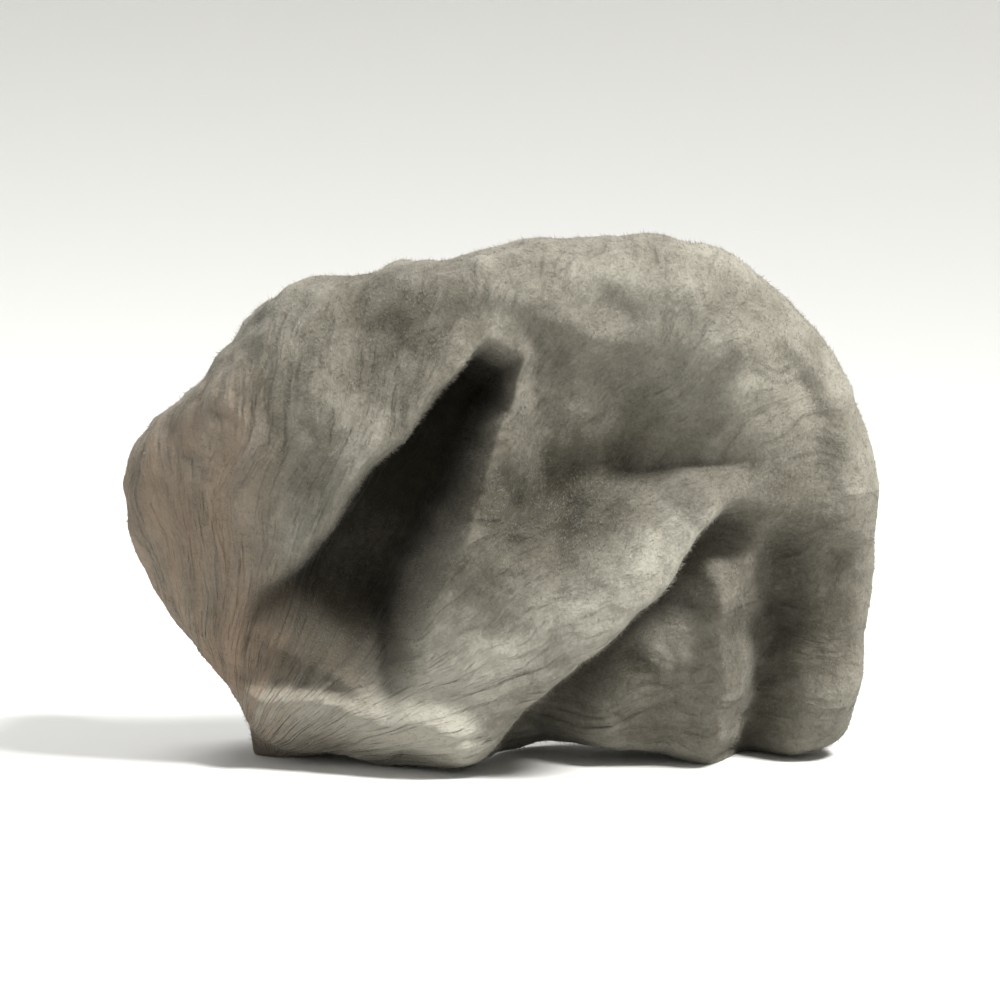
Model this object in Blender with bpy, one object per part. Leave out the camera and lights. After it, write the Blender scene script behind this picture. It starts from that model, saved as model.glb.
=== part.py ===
"""One dried wood ear mushroom, modelled in one piece at its real size.

The ear is a thin, leathery sheet that curled up as it dried. Its felted outer side faces the
front and wraps round the sides. The margin rolls inwards round an open mouth at the back, where
the smooth dark side shows. It stands on the flat cut of its foot and on two low folds.

The sheet is described in unrolled coordinates: (a, b) is the place of a point on the flattened
sheet, in millimetres from the middle of the front. Both sides of the sheet are functions of
(a, b), so the skin keeps its thickness through every fold.

+Z is up, the front faces -Y, and the origin is on the ground below the middle of the ear.
"""

from dataclasses import dataclass

import bmesh
import bpy
import numpy as np

# Millimetres unless a name says otherwise.
MM = 0.001
NODE_NAME = "wood_ear"

SKIN_THICKNESS = 1.0
MARGIN_THICKNESS = 0.75
FRONT_MIDDLE_HEIGHT = 12.5
FRONT_DOME = 2.2
WALL_DRAFT = 0.13
CENTRING = (0.55, -7.6)

FOOT_PLACE = (-10.6, 6.8)
FOOT_RADIUS = 1.9
FOOT_BLEND = 1.5
CUT_TOLERANCE = 0.04

# How folds show on the dark side: the height that a ridge keeps and the share of its width that it
# loses, how much wider a valley is in skin thicknesses, and the same for folds over the steep power.
RIDGE_SHARE_BEHIND = 0.85
RIDGE_NARROWER_BEHIND = 0.25
VALLEY_WIDER_BEHIND = 0.75
STEEP_POWER = 3.0
STEEP_SHARE_BEHIND = 1.06

RING_COUNT = 64
MARGIN_RING_COUNT = 4
COLUMN_COUNT = 260
TRIANGLE_BUDGET = 8600

# Outline of the ear seen from the front: angle in degrees from +X, then distance from the middle.
OUTLINE = (
    (0, 17.1), (14, 16.5), (30, 15.8), (47, 15.0), (61, 13.6), (75, 12.5), (90, 12.0), (106, 11.9),
    (117, 12.1), (127, 12.8), (136, 14.4), (142, 15.2), (150, 15.5), (158, 15.9), (164, 16.6), (170, 17.4),
    (180, 18.1), (188, 17.7), (197, 16.8), (208, 16.0), (216, 15.9), (224, 16.3), (236, 14.3),
    (251, 12.9), (269, 12.2), (280, 11.9), (290, 12.3), (300, 13.8), (308, 15.7), (316, 17.7),
    (323, 19.2), (330, 18.9), (338, 18.1), (349, 17.3),
)

# How the sheet turns back behind the outline: angle, radius of the bend, length of the side wall,
# angle through which the margin has turned at its end, and radius of the rolled margin.
ROLL = (
    (0, 3.0, 8.0, 165, 2.6), (25, 3.2, 6.5, 150, 2.8), (45, 3.4, 5.0, 185, 2.6),
    (68, 3.2, 4.0, 190, 2.8), (90, 3.2, 5.0, 175, 3.0), (112, 3.0, 4.0, 178, 3.0),
    (135, 3.0, 5.0, 155, 3.0), (158, 2.8, 7.0, 140, 2.8), (180, 2.6, 8.0, 150, 2.4),
    (200, 2.4, 8.5, 125, 2.4), (218, 2.2, 8.5, 105, 2.0), (240, 1.8, 5.5, 95, 1.8),
    (262, 1.6, 2.5, 92, 1.6), (285, 1.8, 3.0, 95, 1.6), (305, 2.2, 6.5, 105, 2.0),
    (325, 2.4, 9.0, 125, 2.4), (345, 2.8, 9.5, 150, 2.4),
)


@dataclass(frozen=True)
class Fold:
    """A fold that follows a line on the unrolled sheet.

    Args:
        start, end: the ends of its line, as (a, b).
        width: its half width at either end.
        shift: how far its middle is moved, as (x, y, z); +y is into the ear.
        bow: how far the line bends sideways halfway along.
        taper: over what length it fades out at either end.
        power: 2 is a soft round fold, more is flatter in the middle with steeper sides.
        side: share of the width that the right-hand side of the line has.
    """

    start: tuple[float, float]
    end: tuple[float, float]
    width: tuple[float, float]
    shift: tuple[float, float, float]
    bow: float = 0.0
    taper: tuple[float, float] = (4.0, 4.0)
    power: float = 2.0
    side: float = 1.0

    @property
    def is_ridge(self) -> bool:
        """Whether the fold stands out towards the front."""
        return self.shift[1] < -0.45

    @property
    def is_of_front(self) -> bool:
        """Whether the fold is of the front, not a dent in the walls behind it."""
        return abs(self.shift[1]) > 0.45

    def strength(
        self, a: np.ndarray, b: np.ndarray, wider: float = 0.0, steepest: float = np.inf
    ) -> np.ndarray:
        """Share of the shift at each place: 1 along the line, falling to 0 at its sides and ends."""
        run_a, run_b = self.end[0] - self.start[0], self.end[1] - self.start[1]
        length = float(np.hypot(run_a, run_b))
        run_a, run_b = run_a / length, run_b / length
        along = (a - self.start[0]) * run_a + (b - self.start[1]) * run_b
        across = (b - self.start[1]) * run_a - (a - self.start[0]) * run_b
        part = along / length
        across = across - self.bow * 4 * part * (1 - part)
        width = self.width[0] + (self.width[1] - self.width[0]) * np.clip(part, 0, 1)
        width = np.where(across < 0, width * self.side, width) + wider
        reach = 0.8 * wider
        ends = ease((along + reach) / self.taper[0] + 0.5)
        ends = ends * ease((length + reach - along) / self.taper[1] + 0.5)
        return ends * np.exp(-np.abs(across / width) ** min(self.power, steepest))

    def strength_behind(self, a: np.ndarray, b: np.ndarray) -> np.ndarray:
        """The same on the dark side, where a ridge is narrower, a valley wider and a steep one rounder."""
        if self.is_ridge:
            return RIDGE_SHARE_BEHIND * self.strength(a, b, -RIDGE_NARROWER_BEHIND * min(self.width))
        if self.power > STEEP_POWER:
            return STEEP_SHARE_BEHIND * self.strength(a, b, SKIN_THICKNESS, STEEP_POWER)
        return self.strength(a, b, VALLEY_WIDER_BEHIND * SKIN_THICKNESS)


FOLDS = (
    # The broad swell of the whole front, and the pillow on its left with its rounded right edge.
    Fold((-9, -1), (6, 2), (9, 9), (0, -0.8, 0), taper=(6, 6)),
    Fold((-14, 3.0), (-7.5, 6.0), (4.5, 4.5), (0, -1.7, 0)),
    Fold((-3.1, 6.3), (-11.8, -4.7), (0.9, 0.9), (0, -0.6, 0), taper=(3, 3)),
    # The deep slanting cleft beside the pillow: deepest in its upper half, and open down to the lip.
    Fold((-1.1, 6.1), (-7.6, -5.3), (0.9, 3.1), (-0.7, 3.8, 0.4), taper=(2.6, 4.6), power=8),
    Fold((-1.1, 6.1), (-8.5, -6.4), (0.9, 3.6), (0, 3.8, 0), taper=(2.6, 2.8), power=7),
    # The hollow under the upper rim, the narrow ridge on its left, and the crease at its foot.
    Fold((-0.2, 1.6), (7.8, 2.7), (6.4, 5.0), (0, 3.2, -0.3), bow=0.6, taper=(3.5, 5.0), power=1.9, side=0.8),
    Fold((0.3, 7.0), (-0.3, 2.0), (0.6, 0.6), (0, -0.5, 0), taper=(2, 2)),
    Fold((-1.8, -0.8), (10.0, 2.4), (1.5, 0.6), (0, 1.2, -0.6), bow=1.3, taper=(2.5, 3), power=1.8),
    # The flap: its crest, the lip along its lower edge, the drop on its right and two short wrinkles.
    Fold((-3.9, -13.4), (9.6, 0.8), (7.4, 2.8), (0.5, -3.0, -0.4), taper=(5, 3), power=1.3, side=0.4),
    Fold((-13.6, -9.4), (-2.5, -10.6), (0.8, 0.9), (0, -1.1, 0.2), bow=0.4, taper=(3, 3)),
    Fold((10.9, -0.9), (-4.3, -18.9), (1.0, 1.7), (-1.1, 4.1, 0.8), bow=-0.3, taper=(2.9, 6), power=2.5),
    Fold((0.1, 1.0), (-0.6, -2.4), (0.6, 0.6), (0, 0.6, 0), taper=(2, 2)),
    Fold((2.4, 0.9), (1.5, -1.8), (0.5, 0.5), (0, 0.5, 0), taper=(2, 2)),
    # The lobe at the lower right, with a thin ridge and a valley to its left.
    Fold((10.0, -2.4), (8.9, -13.0), (0.8, 1.0), (0, -1.2, 0), bow=0.3, taper=(4, 5), power=1.6),
    Fold((13.0, -1.8), (9.8, -20.0), (1.0, 1.4), (-0.3, 2.4, 0.2), bow=0.3, taper=(4, 6)),
    Fold((12.8, -2.0), (15.8, -2.8), (1.3, 1.4), (0, 0.9, 0.2), taper=(3, 3)),
    Fold((15.0, -3.0), (8.5, -24.0), (4.0, 4.8), (0, 1.5, 0), taper=(4, 8)),
    # The upper rim: a low ridge along it, and a ridge and a crease down its right side.
    Fold((-1.0, 10.0), (13.0, 7.0), (1.2, 1.2), (0, -0.5, 0), bow=-1.2),
    Fold((10.5, 8.0), (10.6, 3.4), (0.8, 0.8), (0, -0.5, 0), taper=(3, 3)),
    Fold((12.6, 6.2), (14.4, 0.2), (0.9, 0.9), (0, 0.8, 0), bow=0.4),
    # Dents in the top and the side walls, behind the outline.
    Fold((3.5, 15.0), (5.5, 27.0), (2.2, 3.4), (0.2, 0, -1.5), taper=(4, 5)),
    Fold((-20.0, 9.6), (-27.0, 13.0), (1.5, 2.2), (1.5, 0.2, -0.8), taper=(4, 5)),
    Fold((-20.0, -1.0), (-30.0, -4.0), (1.5, 2.4), (1.6, 0, 0.5), taper=(4, 5)),
    Fold((21.0, 5.0), (31.0, 8.0), (1.5, 2.4), (-1.7, 0, -0.6), taper=(4, 5)),
    Fold((20.0, -9.0), (29.0, -14.0), (1.4, 2.2), (-1.4, 0, 0.7), taper=(4, 5)),
)


def ease(x: np.ndarray) -> np.ndarray:
    """Runs smoothly from 0 at x = 0 to 1 at x = 1."""
    x = np.clip(x, 0, 1)
    return x * x * (3 - 2 * x)


def round_the_ear(stations: tuple, column: int, angle: np.ndarray) -> np.ndarray:
    """One smooth closed curve through a column of the stations, whose first column is the angle."""
    table = np.asarray(stations, float)
    at, value, count = np.radians(table[:, 0]), table[:, column], len(table)
    place = np.mod(angle - at[0], 2 * np.pi) + at[0]
    index = np.clip(np.searchsorted(at, place, side="right") - 1, 0, count - 1)
    turns = [2 * np.pi * ((index + step) // count) for step in (-1, 0, 1, 2)]
    before, here, after, beyond = (
        (at[(index + step) % count] + turn, value[(index + step) % count])
        for step, turn in zip((-1, 0, 1, 2), turns)
    )
    span = after[0] - here[0]
    t = (place - here[0]) / span
    slope_here = (after[1] - before[1]) / (after[0] - before[0]) * span
    slope_after = (beyond[1] - here[1]) / (beyond[0] - here[0]) * span
    curve = (2 * t**3 - 3 * t**2 + 1) * here[1] + (t**3 - 2 * t**2 + t) * slope_here
    return curve + (3 * t**2 - 2 * t**3) * after[1] + (t**3 - t**2) * slope_after


def lattice_value(ix: np.ndarray, iy: np.ndarray, seed: int) -> np.ndarray:
    """A fixed scatter of values between -1 and 1 over a lattice of whole numbers."""
    mixed = (ix * 374761393 + iy * 668265263 + seed * 1274126177) & 0xFFFFFFFF
    mixed = ((mixed ^ (mixed >> 13)) * 1274126177) & 0xFFFFFFFF
    mixed = (mixed ^ (mixed >> 16)) & 0xFFFFFFFF
    return mixed / 0xFFFFFFFF * 2 - 1


def waves(x: np.ndarray, y: np.ndarray, octaves: int, seed: int) -> np.ndarray:
    """Smooth uneven waves between -1 and 1, each octave half the size of the one before."""
    total, weight, size = np.zeros_like(x), 1.0, 1.0
    for octave in range(octaves):
        u, v = x * size, y * size
        iu, iv = np.floor(u).astype(np.int64), np.floor(v).astype(np.int64)
        fu, fv = ((f * f * f * (f * (f * 6 - 15) + 10)) for f in (u - iu, v - iv))
        low = lattice_value(iu, iv, seed + octave) * (1 - fu) + lattice_value(iu + 1, iv, seed + octave) * fu
        high = lattice_value(iu, iv + 1, seed + octave) * (1 - fu)
        high = high + lattice_value(iu + 1, iv + 1, seed + octave) * fu
        total = total + weight * (low * (1 - fv) + high * fv)
        weight, size = weight * 0.5, size * 2.03
    return total / (2 - 2 * weight)


def wander(a: np.ndarray, b: np.ndarray) -> tuple[np.ndarray, np.ndarray]:
    """The place, moved unevenly by under a millimetre, so that no fold runs quite straight."""
    across = waves(a / 4.6 + 3.1, b / 4.6 + 8.2, 3, 41)
    along = waves(a / 4.6 + 6.4, b / 4.6 + 1.7, 3, 47)
    return a + 0.75 * across, b + 0.75 * along


def outward_normals(points: np.ndarray) -> np.ndarray:
    """Unit normals of a grid of rings, each ring closed on itself."""
    down = np.gradient(points, axis=0)
    around = (np.roll(points, -1, 1) - np.roll(points, 1, 1)) / 2
    normal = np.cross(down, around)
    normal[0] = normal[1].mean(0)
    return normal / (np.linalg.norm(normal, axis=-1, keepdims=True) + 1e-12)


class WoodEar:
    """The two sides of the sheet, on rings that run from the middle of the front to the margin.

    Along each direction from the middle, the sheet runs flat to the bend, round the bend, straight
    back as the side wall, and then round the roll of the margin.
    """

    def __init__(self, rings: int, margin_rings: int, columns: int) -> None:
        self.angle = np.arange(columns) / columns * 2 * np.pi
        self.lay_out(rings, margin_rings)
        self.fold()

    def lay_out(self, rings: int, margin_rings: int) -> None:
        """The plain curled sheet: points, normals and places on the unrolled sheet."""
        cos, sin = np.cos(self.angle), np.sin(self.angle)
        radius = round_the_ear(OUTLINE, 1, self.angle)
        bend, wall, turn, curl = (round_the_ear(ROLL, k, self.angle) for k in (1, 2, 3, 4))
        wave = waves(cos * 2.6 + 9.1, sin * 2.6 + 4.2, 2, 3)
        wall = np.maximum(wall + 1.6 * wave, 0.8)
        turn = np.radians(turn)
        flat = radius - bend
        self.length = flat + bend * np.pi / 2 + wall + curl * (turn - np.pi / 2)
        edge = MARGIN_THICKNESS / 2
        inner_rings = np.linspace(0, 1, rings + 1)[:, None] * (self.length - edge)
        quarter = np.sin(np.arange(1, margin_rings + 1) / margin_rings * np.pi / 2)
        self.s = np.concatenate([inner_rings, self.length - edge + edge * quarter[:, None]])
        on_flat = np.clip(self.s, 0, flat)
        on_bend = np.clip((self.s - flat) / bend, 0, np.pi / 2)
        on_wall = np.clip(self.s - flat - bend * np.pi / 2, 0, wall)
        on_curl = np.clip((self.s - flat - bend * np.pi / 2 - wall) / curl, 0, None)
        draft = WALL_DRAFT * (0.5 + 0.5 * sin) * on_wall
        out = on_flat + bend * np.sin(on_bend) - draft - curl * (1 - np.cos(on_curl))
        back = bend * (1 - np.cos(on_bend)) + on_wall + curl * np.sin(on_curl)
        back = back + FRONT_DOME * (on_flat / radius) ** 2
        self.points = np.stack([out * cos, back, FRONT_MIDDLE_HEIGHT + out * sin], -1)
        self.normals = outward_normals(self.points)
        self.a, self.b = self.s * cos, self.s * sin
        held = np.minimum(self.s, flat + 0.8 * bend)
        self.front_a, self.front_b = held * cos, held * sin
        self.behind = ease((self.s - flat) / (self.length - flat) * 1.3)

    def crumple(self) -> tuple[np.ndarray, np.ndarray]:
        """Outward push of the uneven sheet: soft waves of both sides, and crisp ones of the felt side."""
        grow = ease(self.s / 6)
        from_foot_a, from_foot_b = self.a + 14, self.b + 14
        bearing, distance = np.arctan2(from_foot_b, from_foot_a), np.hypot(from_foot_a, from_foot_b)
        broad = waves(self.a / 6.5 + 7.3, self.b / 6.5 + 2.9, 2, 5)
        clear_of_foot = ease((distance - 1.5) / 6)
        pleats = (0.6 - 2.2 * np.abs(waves(bearing * 4.5, distance / 12, 2, 23))) * clear_of_foot
        fine = (0.5 - 2 * np.abs(waves(bearing * 9, distance / 8, 2, 11))) * clear_of_foot
        crackle = 0.5 - 2 * np.abs(waves(self.a / 3.1, self.b / 3.1, 3, 31))
        soft = (0.4 + 0.4 * self.behind) * broad + (0.1 + 0.32 * self.behind) * pleats
        return grow * soft, grow * (0.05 * fine + 0.15 * crackle)

    def fold(self) -> None:
        """Moves both sides by the folds and the crumpling, and rounds the margin."""
        skin = SKIN_THICKNESS + (MARGIN_THICKNESS - SKIN_THICKNESS) * self.behind
        outer = self.points.copy()
        inner = self.points - self.normals * skin[..., None]
        of_front, of_walls = wander(self.front_a, self.front_b), (self.a, self.b)
        for each in FOLDS:
            place = of_front if each.is_of_front else of_walls
            lean = 1 - self.behind if each.is_of_front else np.ones_like(self.s)
            shift = np.stack([each.shift[0] * lean, np.full_like(lean, each.shift[1]), each.shift[2] * lean], -1)
            outer += each.strength(*place)[..., None] * shift
            inner += each.strength_behind(*place)[..., None] * shift
        soft, crisp = self.crumple()
        outer += self.normals * (soft + crisp)[..., None]
        inner += self.normals * (soft - 0.1)[..., None]
        self.stand(outer, inner)
        edge = MARGIN_THICKNESS / 2
        over = np.clip((self.s - self.length + edge) / edge, 0, 1)
        rounding = np.sqrt(np.clip(1 - over * over, 0, 1))[..., None]
        middle = (outer + inner) / 2
        self.outer = middle + (outer - middle) * rounding
        self.inner = middle + (inner - middle) * rounding

    def stand(self, outer: np.ndarray, inner: np.ndarray) -> None:
        """Draws the foot down to its flat cut and keeps everything on or above the ground."""
        away = np.hypot(outer[..., 0] - FOOT_PLACE[0], outer[..., 1] - FOOT_PLACE[1])
        low = ease((3.6 - outer[..., 2]) / 1.4)
        drawn = ease((FOOT_RADIUS + FOOT_BLEND - away) / FOOT_BLEND) * low
        outer[..., 2] *= 1 - drawn
        np.maximum(outer[..., 2], 0, out=outer[..., 2])
        np.maximum(inner[..., 2], 0.8 * MARGIN_THICKNESS, out=inner[..., 2])

    def closed_mesh(self) -> tuple[np.ndarray, list[tuple[int, ...]]]:
        """Points in metres and faces of the closed skin: the felt side, then the dark side."""
        rings, columns = self.s.shape
        points = np.concatenate([self.outer.reshape(-1, 3), self.inner.reshape(-1, 3)])
        felt = np.arange(rings * columns).reshape(rings, columns)
        dark = felt + rings * columns
        felt[0], dark[0] = felt[0, 0], dark[0, 0]
        points[felt[0, 0]], points[dark[0, 0]] = self.outer[0].mean(0), self.inner[0].mean(0)
        dark[-1] = felt[-1]
        faces: list[tuple[int, ...]] = []
        for grid, turned in ((felt, True), (dark, False)):
            beside = np.roll(grid, -1, 1)
            quads = np.stack([grid[:-1], beside[:-1], beside[1:], grid[1:]], -1)
            fan = quads[0][:, [0, 2, 3]]
            quads = quads[1:].reshape(-1, 4)
            if turned:
                fan, quads = fan[:, ::-1], quads[:, ::-1]
            faces += [tuple(face) for face in fan.tolist()] + [tuple(face) for face in quads.tolist()]
        points[:, :2] += CENTRING
        return points * MM, faces


def felt_material() -> bpy.types.Material:
    """Pale sage grey, dry and matt."""
    material = bpy.data.materials.new("dried ear felt")
    material.use_nodes = True
    shader = material.node_tree.nodes["Principled BSDF"]
    shader.inputs["Base Color"].default_value = (0.30, 0.285, 0.235, 1)
    shader.inputs["Roughness"].default_value = 0.88
    shader.inputs["Metallic"].default_value = 0.0
    return material


def drop_loose_points(mesh: bpy.types.Mesh) -> None:
    """Removes the points that no face uses, left where a ring closes to one point."""
    work = bmesh.new()
    work.from_mesh(mesh)
    loose = [vertex for vertex in work.verts if not vertex.link_faces]
    bmesh.ops.delete(work, geom=loose, context="VERTS")
    work.to_mesh(mesh)
    work.free()


def thin_out(ear: bpy.types.Object, ratio: float) -> None:
    """Joins triangles where the sheet is nearly flat, until this share of them is left."""
    modifier = ear.modifiers.new("Thin out", "DECIMATE")
    modifier.decimate_type = "COLLAPSE"
    modifier.ratio = ratio
    modifier.use_collapse_triangulate = True
    fine = ear.data
    ear.data = bpy.data.meshes.new_from_object(ear.evaluated_get(bpy.context.evaluated_depsgraph_get()))
    ear.data.name = NODE_NAME
    ear.modifiers.clear()
    bpy.data.meshes.remove(fine)


def level_contacts(mesh: bpy.types.Mesh) -> None:
    """Puts what is within the cut's tolerance of the ground exactly on it, so the cut is one plane."""
    places = np.empty(len(mesh.vertices) * 3, np.float32)
    mesh.vertices.foreach_get("co", places)
    places = places.reshape(-1, 3)
    places[:, 2][places[:, 2] < CUT_TOLERANCE * MM] = 0
    mesh.vertices.foreach_set("co", places.ravel())
    mesh.update()


def build_wood_ear() -> bpy.types.Object:
    """The ear as one closed solid, thinned to the triangle budget."""
    points, faces = WoodEar(RING_COUNT, MARGIN_RING_COUNT, COLUMN_COUNT).closed_mesh()
    mesh = bpy.data.meshes.new("fine ear")
    mesh.from_pydata(points.tolist(), [], faces)
    mesh.materials.append(felt_material())
    drop_loose_points(mesh)
    ear = bpy.data.objects.new(NODE_NAME, mesh)
    bpy.context.collection.objects.link(ear)
    thin_out(ear, TRIANGLE_BUDGET / sum(len(face) - 2 for face in faces))
    level_contacts(ear.data)
    ear.data.shade_smooth()
    return ear


def main() -> None:
    """Clears the scene and builds the ear."""
    for item in list(bpy.data.objects):
        bpy.data.objects.remove(item)
    build_wood_ear()


if __name__ == "__main__":
    main()
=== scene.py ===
"""A dried wood ear mushroom, dressed for the studio.

The ear is one thin, leathery sheet that curled up as it dried: pale grey felt outside, near-black
skin inside, and a margin that rolls inwards round an open mouth at the back.

The sheet is laid out in unrolled coordinates (a, b), in millimetres from the middle of the front.
Both of its sides are functions of (a, b), and the same coordinates place the tones of the felt,
the veins of the dark side and the hairs. Lengths of the ear are in millimetres until its mesh is
made, and those of the studio are in metres.
"""

import logging
import math
from dataclasses import dataclass, field
from enum import Enum

import bpy
import numpy as np
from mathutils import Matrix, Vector


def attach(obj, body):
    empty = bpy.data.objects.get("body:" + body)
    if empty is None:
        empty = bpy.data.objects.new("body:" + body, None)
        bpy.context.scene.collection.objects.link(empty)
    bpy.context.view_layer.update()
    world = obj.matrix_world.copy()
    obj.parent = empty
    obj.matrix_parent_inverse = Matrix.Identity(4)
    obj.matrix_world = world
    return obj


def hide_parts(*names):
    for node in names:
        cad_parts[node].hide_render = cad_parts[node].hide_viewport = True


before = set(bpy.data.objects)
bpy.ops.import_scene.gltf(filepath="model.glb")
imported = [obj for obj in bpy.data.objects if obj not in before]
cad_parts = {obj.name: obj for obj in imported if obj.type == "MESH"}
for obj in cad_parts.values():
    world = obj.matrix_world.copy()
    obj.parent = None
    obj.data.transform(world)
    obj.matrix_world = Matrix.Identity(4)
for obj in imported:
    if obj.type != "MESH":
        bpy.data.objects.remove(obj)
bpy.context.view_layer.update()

MM = 0.001
NODE = "wood_ear"

SKIN_THICKNESS = 1.0
MARGIN_THICKNESS = 0.75

# How folds show on the dark side. A ridge keeps this share of its height, and loses this share of
# its smaller half width. A valley gains this share of the skin's thickness in half width. A valley
# over the steep power is held to that power, gains the whole thickness, and has this share of depth.
RIDGE_SHARE_BEHIND = 0.85
RIDGE_NARROWER_BEHIND = 0.25
VALLEY_WIDER_BEHIND = 0.75
STEEP_POWER = 3.0
STEEP_SHARE_BEHIND = 1.06

# A fold that is made wider also grows longer at either end, by this share of what it gains.
REACH_OF_WIDTH = 0.8

# A fold that moves the sheet by less than this into the ear or out of it is a dent in the walls.
WALL_DENT_DEPTH = 0.45

# How far and over what length folds wander from their lines.
WANDER = 0.75
WANDER_SIZE = 4.6

# Large odd numbers that scatter the points of a lattice, and the bits that are kept of a product.
SCATTER_X, SCATTER_Y, SCATTER_SEED = 374761393, 668265263, 1274126177
KEPT_BITS = 0xFFFFFFFF

# Each octave of waves is this many times as fine as the one before.
OCTAVE_STEP = 2.03

# What a mesh keeps of the sheet at each point, for the finishes to read.
SHEET_VALUES = ("tone", "deep", "warm", "rim", "grain")

# A direction that practically no normal shares: crossed with a normal, it lies across the felt.
NO_NORMAL = (0.31, 0.17, 0.94)

Colour = tuple[float, float, float]
Range = tuple[float, float]
Table = tuple[tuple[float, ...], ...]

log = logging.getLogger("wood_ear")


class Side(Enum):
    """The surfaces of the ear, in the order of the skin's material slots."""

    FELT = 0
    DARK = 1
    CUT = 2


def ease(x: np.ndarray) -> np.ndarray:
    """Runs smoothly from 0 at x = 0 to 1 at x = 1."""
    x = np.clip(x, 0, 1)
    return x * x * (3 - 2 * x)


def round_the_ear(stations: Table, column: int, angle: np.ndarray) -> np.ndarray:
    """One smooth closed curve through a column of the stations.

    Between two stations the value is a cubic whose slopes at its ends are those of the straight
    line from the station before to the station after.

    Args:
        stations: rows of numbers, the first of each its angle in degrees.
        column: the column to follow.
        angle: where the curve is wanted, in radians.

    Returns:
        The value at each angle.
    """
    table = np.asarray(stations, float)
    at, value, count = np.radians(table[:, 0]), table[:, column], len(table)
    place = np.mod(angle - at[0], 2 * np.pi) + at[0]
    index = np.clip(np.searchsorted(at, place, side="right") - 1, 0, count - 1)
    turns = [2 * np.pi * ((index + step) // count) for step in (-1, 0, 1, 2)]
    before, here, after, beyond = (
        (at[(index + step) % count] + turn, value[(index + step) % count])
        for step, turn in zip((-1, 0, 1, 2), turns)
    )
    span = after[0] - here[0]
    t = (place - here[0]) / span
    slope_here = (after[1] - before[1]) / (after[0] - before[0]) * span
    slope_after = (beyond[1] - here[1]) / (beyond[0] - here[0]) * span
    curve = (2 * t**3 - 3 * t**2 + 1) * here[1] + (t**3 - 2 * t**2 + t) * slope_here
    return curve + (3 * t**2 - 2 * t**3) * after[1] + (t**3 - t**2) * slope_after


def lattice_value(ix: np.ndarray, iy: np.ndarray, seed: int) -> np.ndarray:
    """A fixed scatter of values between -1 and 1 over a lattice of whole numbers.

    Args:
        ix, iy: the lattice point.
        seed: picks one scatter.

    Returns:
        Its value, from its coordinates multiplied by large odd numbers and mixed bit by bit.
    """
    mixed = (ix * SCATTER_X + iy * SCATTER_Y + seed * SCATTER_SEED) & KEPT_BITS
    mixed = ((mixed ^ (mixed >> 13)) * SCATTER_SEED) & KEPT_BITS
    mixed = (mixed ^ (mixed >> 16)) & KEPT_BITS
    return mixed / KEPT_BITS * 2 - 1


def waves(x: np.ndarray, y: np.ndarray, octaves: int, seed: int) -> np.ndarray:
    """Smooth uneven waves between -1 and 1.

    Each octave joins lattice values with a curve of the fifth degree, at about half the size and
    half the height of the octave before. A number added to the place only picks another part of
    the waves.

    Args:
        x, y: the place, in the size of the first octave.
        octaves: how many sizes are added up.
        seed: picks one scatter of lattice values.

    Returns:
        The height at each place.
    """
    total, weight, size = np.zeros_like(x), 1.0, 1.0
    for octave in range(octaves):
        u, v = x * size, y * size
        iu, iv = np.floor(u).astype(np.int64), np.floor(v).astype(np.int64)
        fu, fv = ((f * f * f * (f * (f * 6 - 15) + 10)) for f in (u - iu, v - iv))
        low = lattice_value(iu, iv, seed + octave) * (1 - fu) + lattice_value(iu + 1, iv, seed + octave) * fu
        high = lattice_value(iu, iv + 1, seed + octave) * (1 - fu)
        high = high + lattice_value(iu + 1, iv + 1, seed + octave) * fu
        total = total + weight * (low * (1 - fv) + high * fv)
        weight, size = weight * 0.5, size * OCTAVE_STEP
    return total / (2 - 2 * weight)


def wander(a: np.ndarray, b: np.ndarray) -> tuple[np.ndarray, np.ndarray]:
    """The place, moved unevenly by under a millimetre, so that no fold runs quite straight.

    Args:
        a, b: the place on the unrolled sheet.

    Returns:
        The place plus two sets of waves, one for each coordinate.
    """
    across = waves(a / WANDER_SIZE + 3.1, b / WANDER_SIZE + 8.2, 3, 41)
    along = waves(a / WANDER_SIZE + 6.4, b / WANDER_SIZE + 1.7, 3, 47)
    return a + WANDER * across, b + WANDER * along


def unit(vectors: np.ndarray) -> np.ndarray:
    """The vectors, each divided by its length; one of no length stays 0."""
    return vectors / (np.linalg.norm(vectors, axis=-1, keepdims=True) + 1e-12)


def outward_normals(points: np.ndarray) -> np.ndarray:
    """Unit normals of a grid of rings, each ring closed on itself.

    Each is the cross product of the step to the next ring and the step to the next column.

    Args:
        points: the grid, as (ring, column, xyz).

    Returns:
        Normals in the same layout.
    """
    down = np.gradient(points, axis=0)
    around = (np.roll(points, -1, 1) - np.roll(points, 1, 1)) / 2
    normal = np.cross(down, around)
    normal[0] = normal[1].mean(0)
    return unit(normal)


def ring_indices(rings: int, columns: int, start: int) -> np.ndarray:
    """Point numbers of a grid of rings whose first ring is one point.

    The others follow ring by ring: start + 1 + (ring - 1) * columns + column.

    Args:
        rings, columns: the grid's size.
        start: the number of its first point.

    Returns:
        The numbers, as (ring, column).
    """
    grid = np.arange(rings * columns).reshape(rings, columns) - columns + 1 + start
    grid[0] = start
    return grid


def ring_faces(grid: np.ndarray, turned: bool) -> tuple[np.ndarray, np.ndarray]:
    """The faces of a grid of rings whose first ring is one point.

    Args:
        grid: its point numbers, as (ring, column).
        turned: whether the faces look the other way.

    Returns:
        The fan of triangles round the first ring's point, and the quads of the other rings.
    """
    beside = np.roll(grid, -1, 1)
    quads = np.stack([grid[:-1], beside[:-1], beside[1:], grid[1:]], -1)
    fan, rest = quads[0][:, [0, 2, 3]], quads[1:].reshape(-1, 4)
    return (fan[:, ::-1], rest[:, ::-1]) if turned else (fan, rest)


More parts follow.
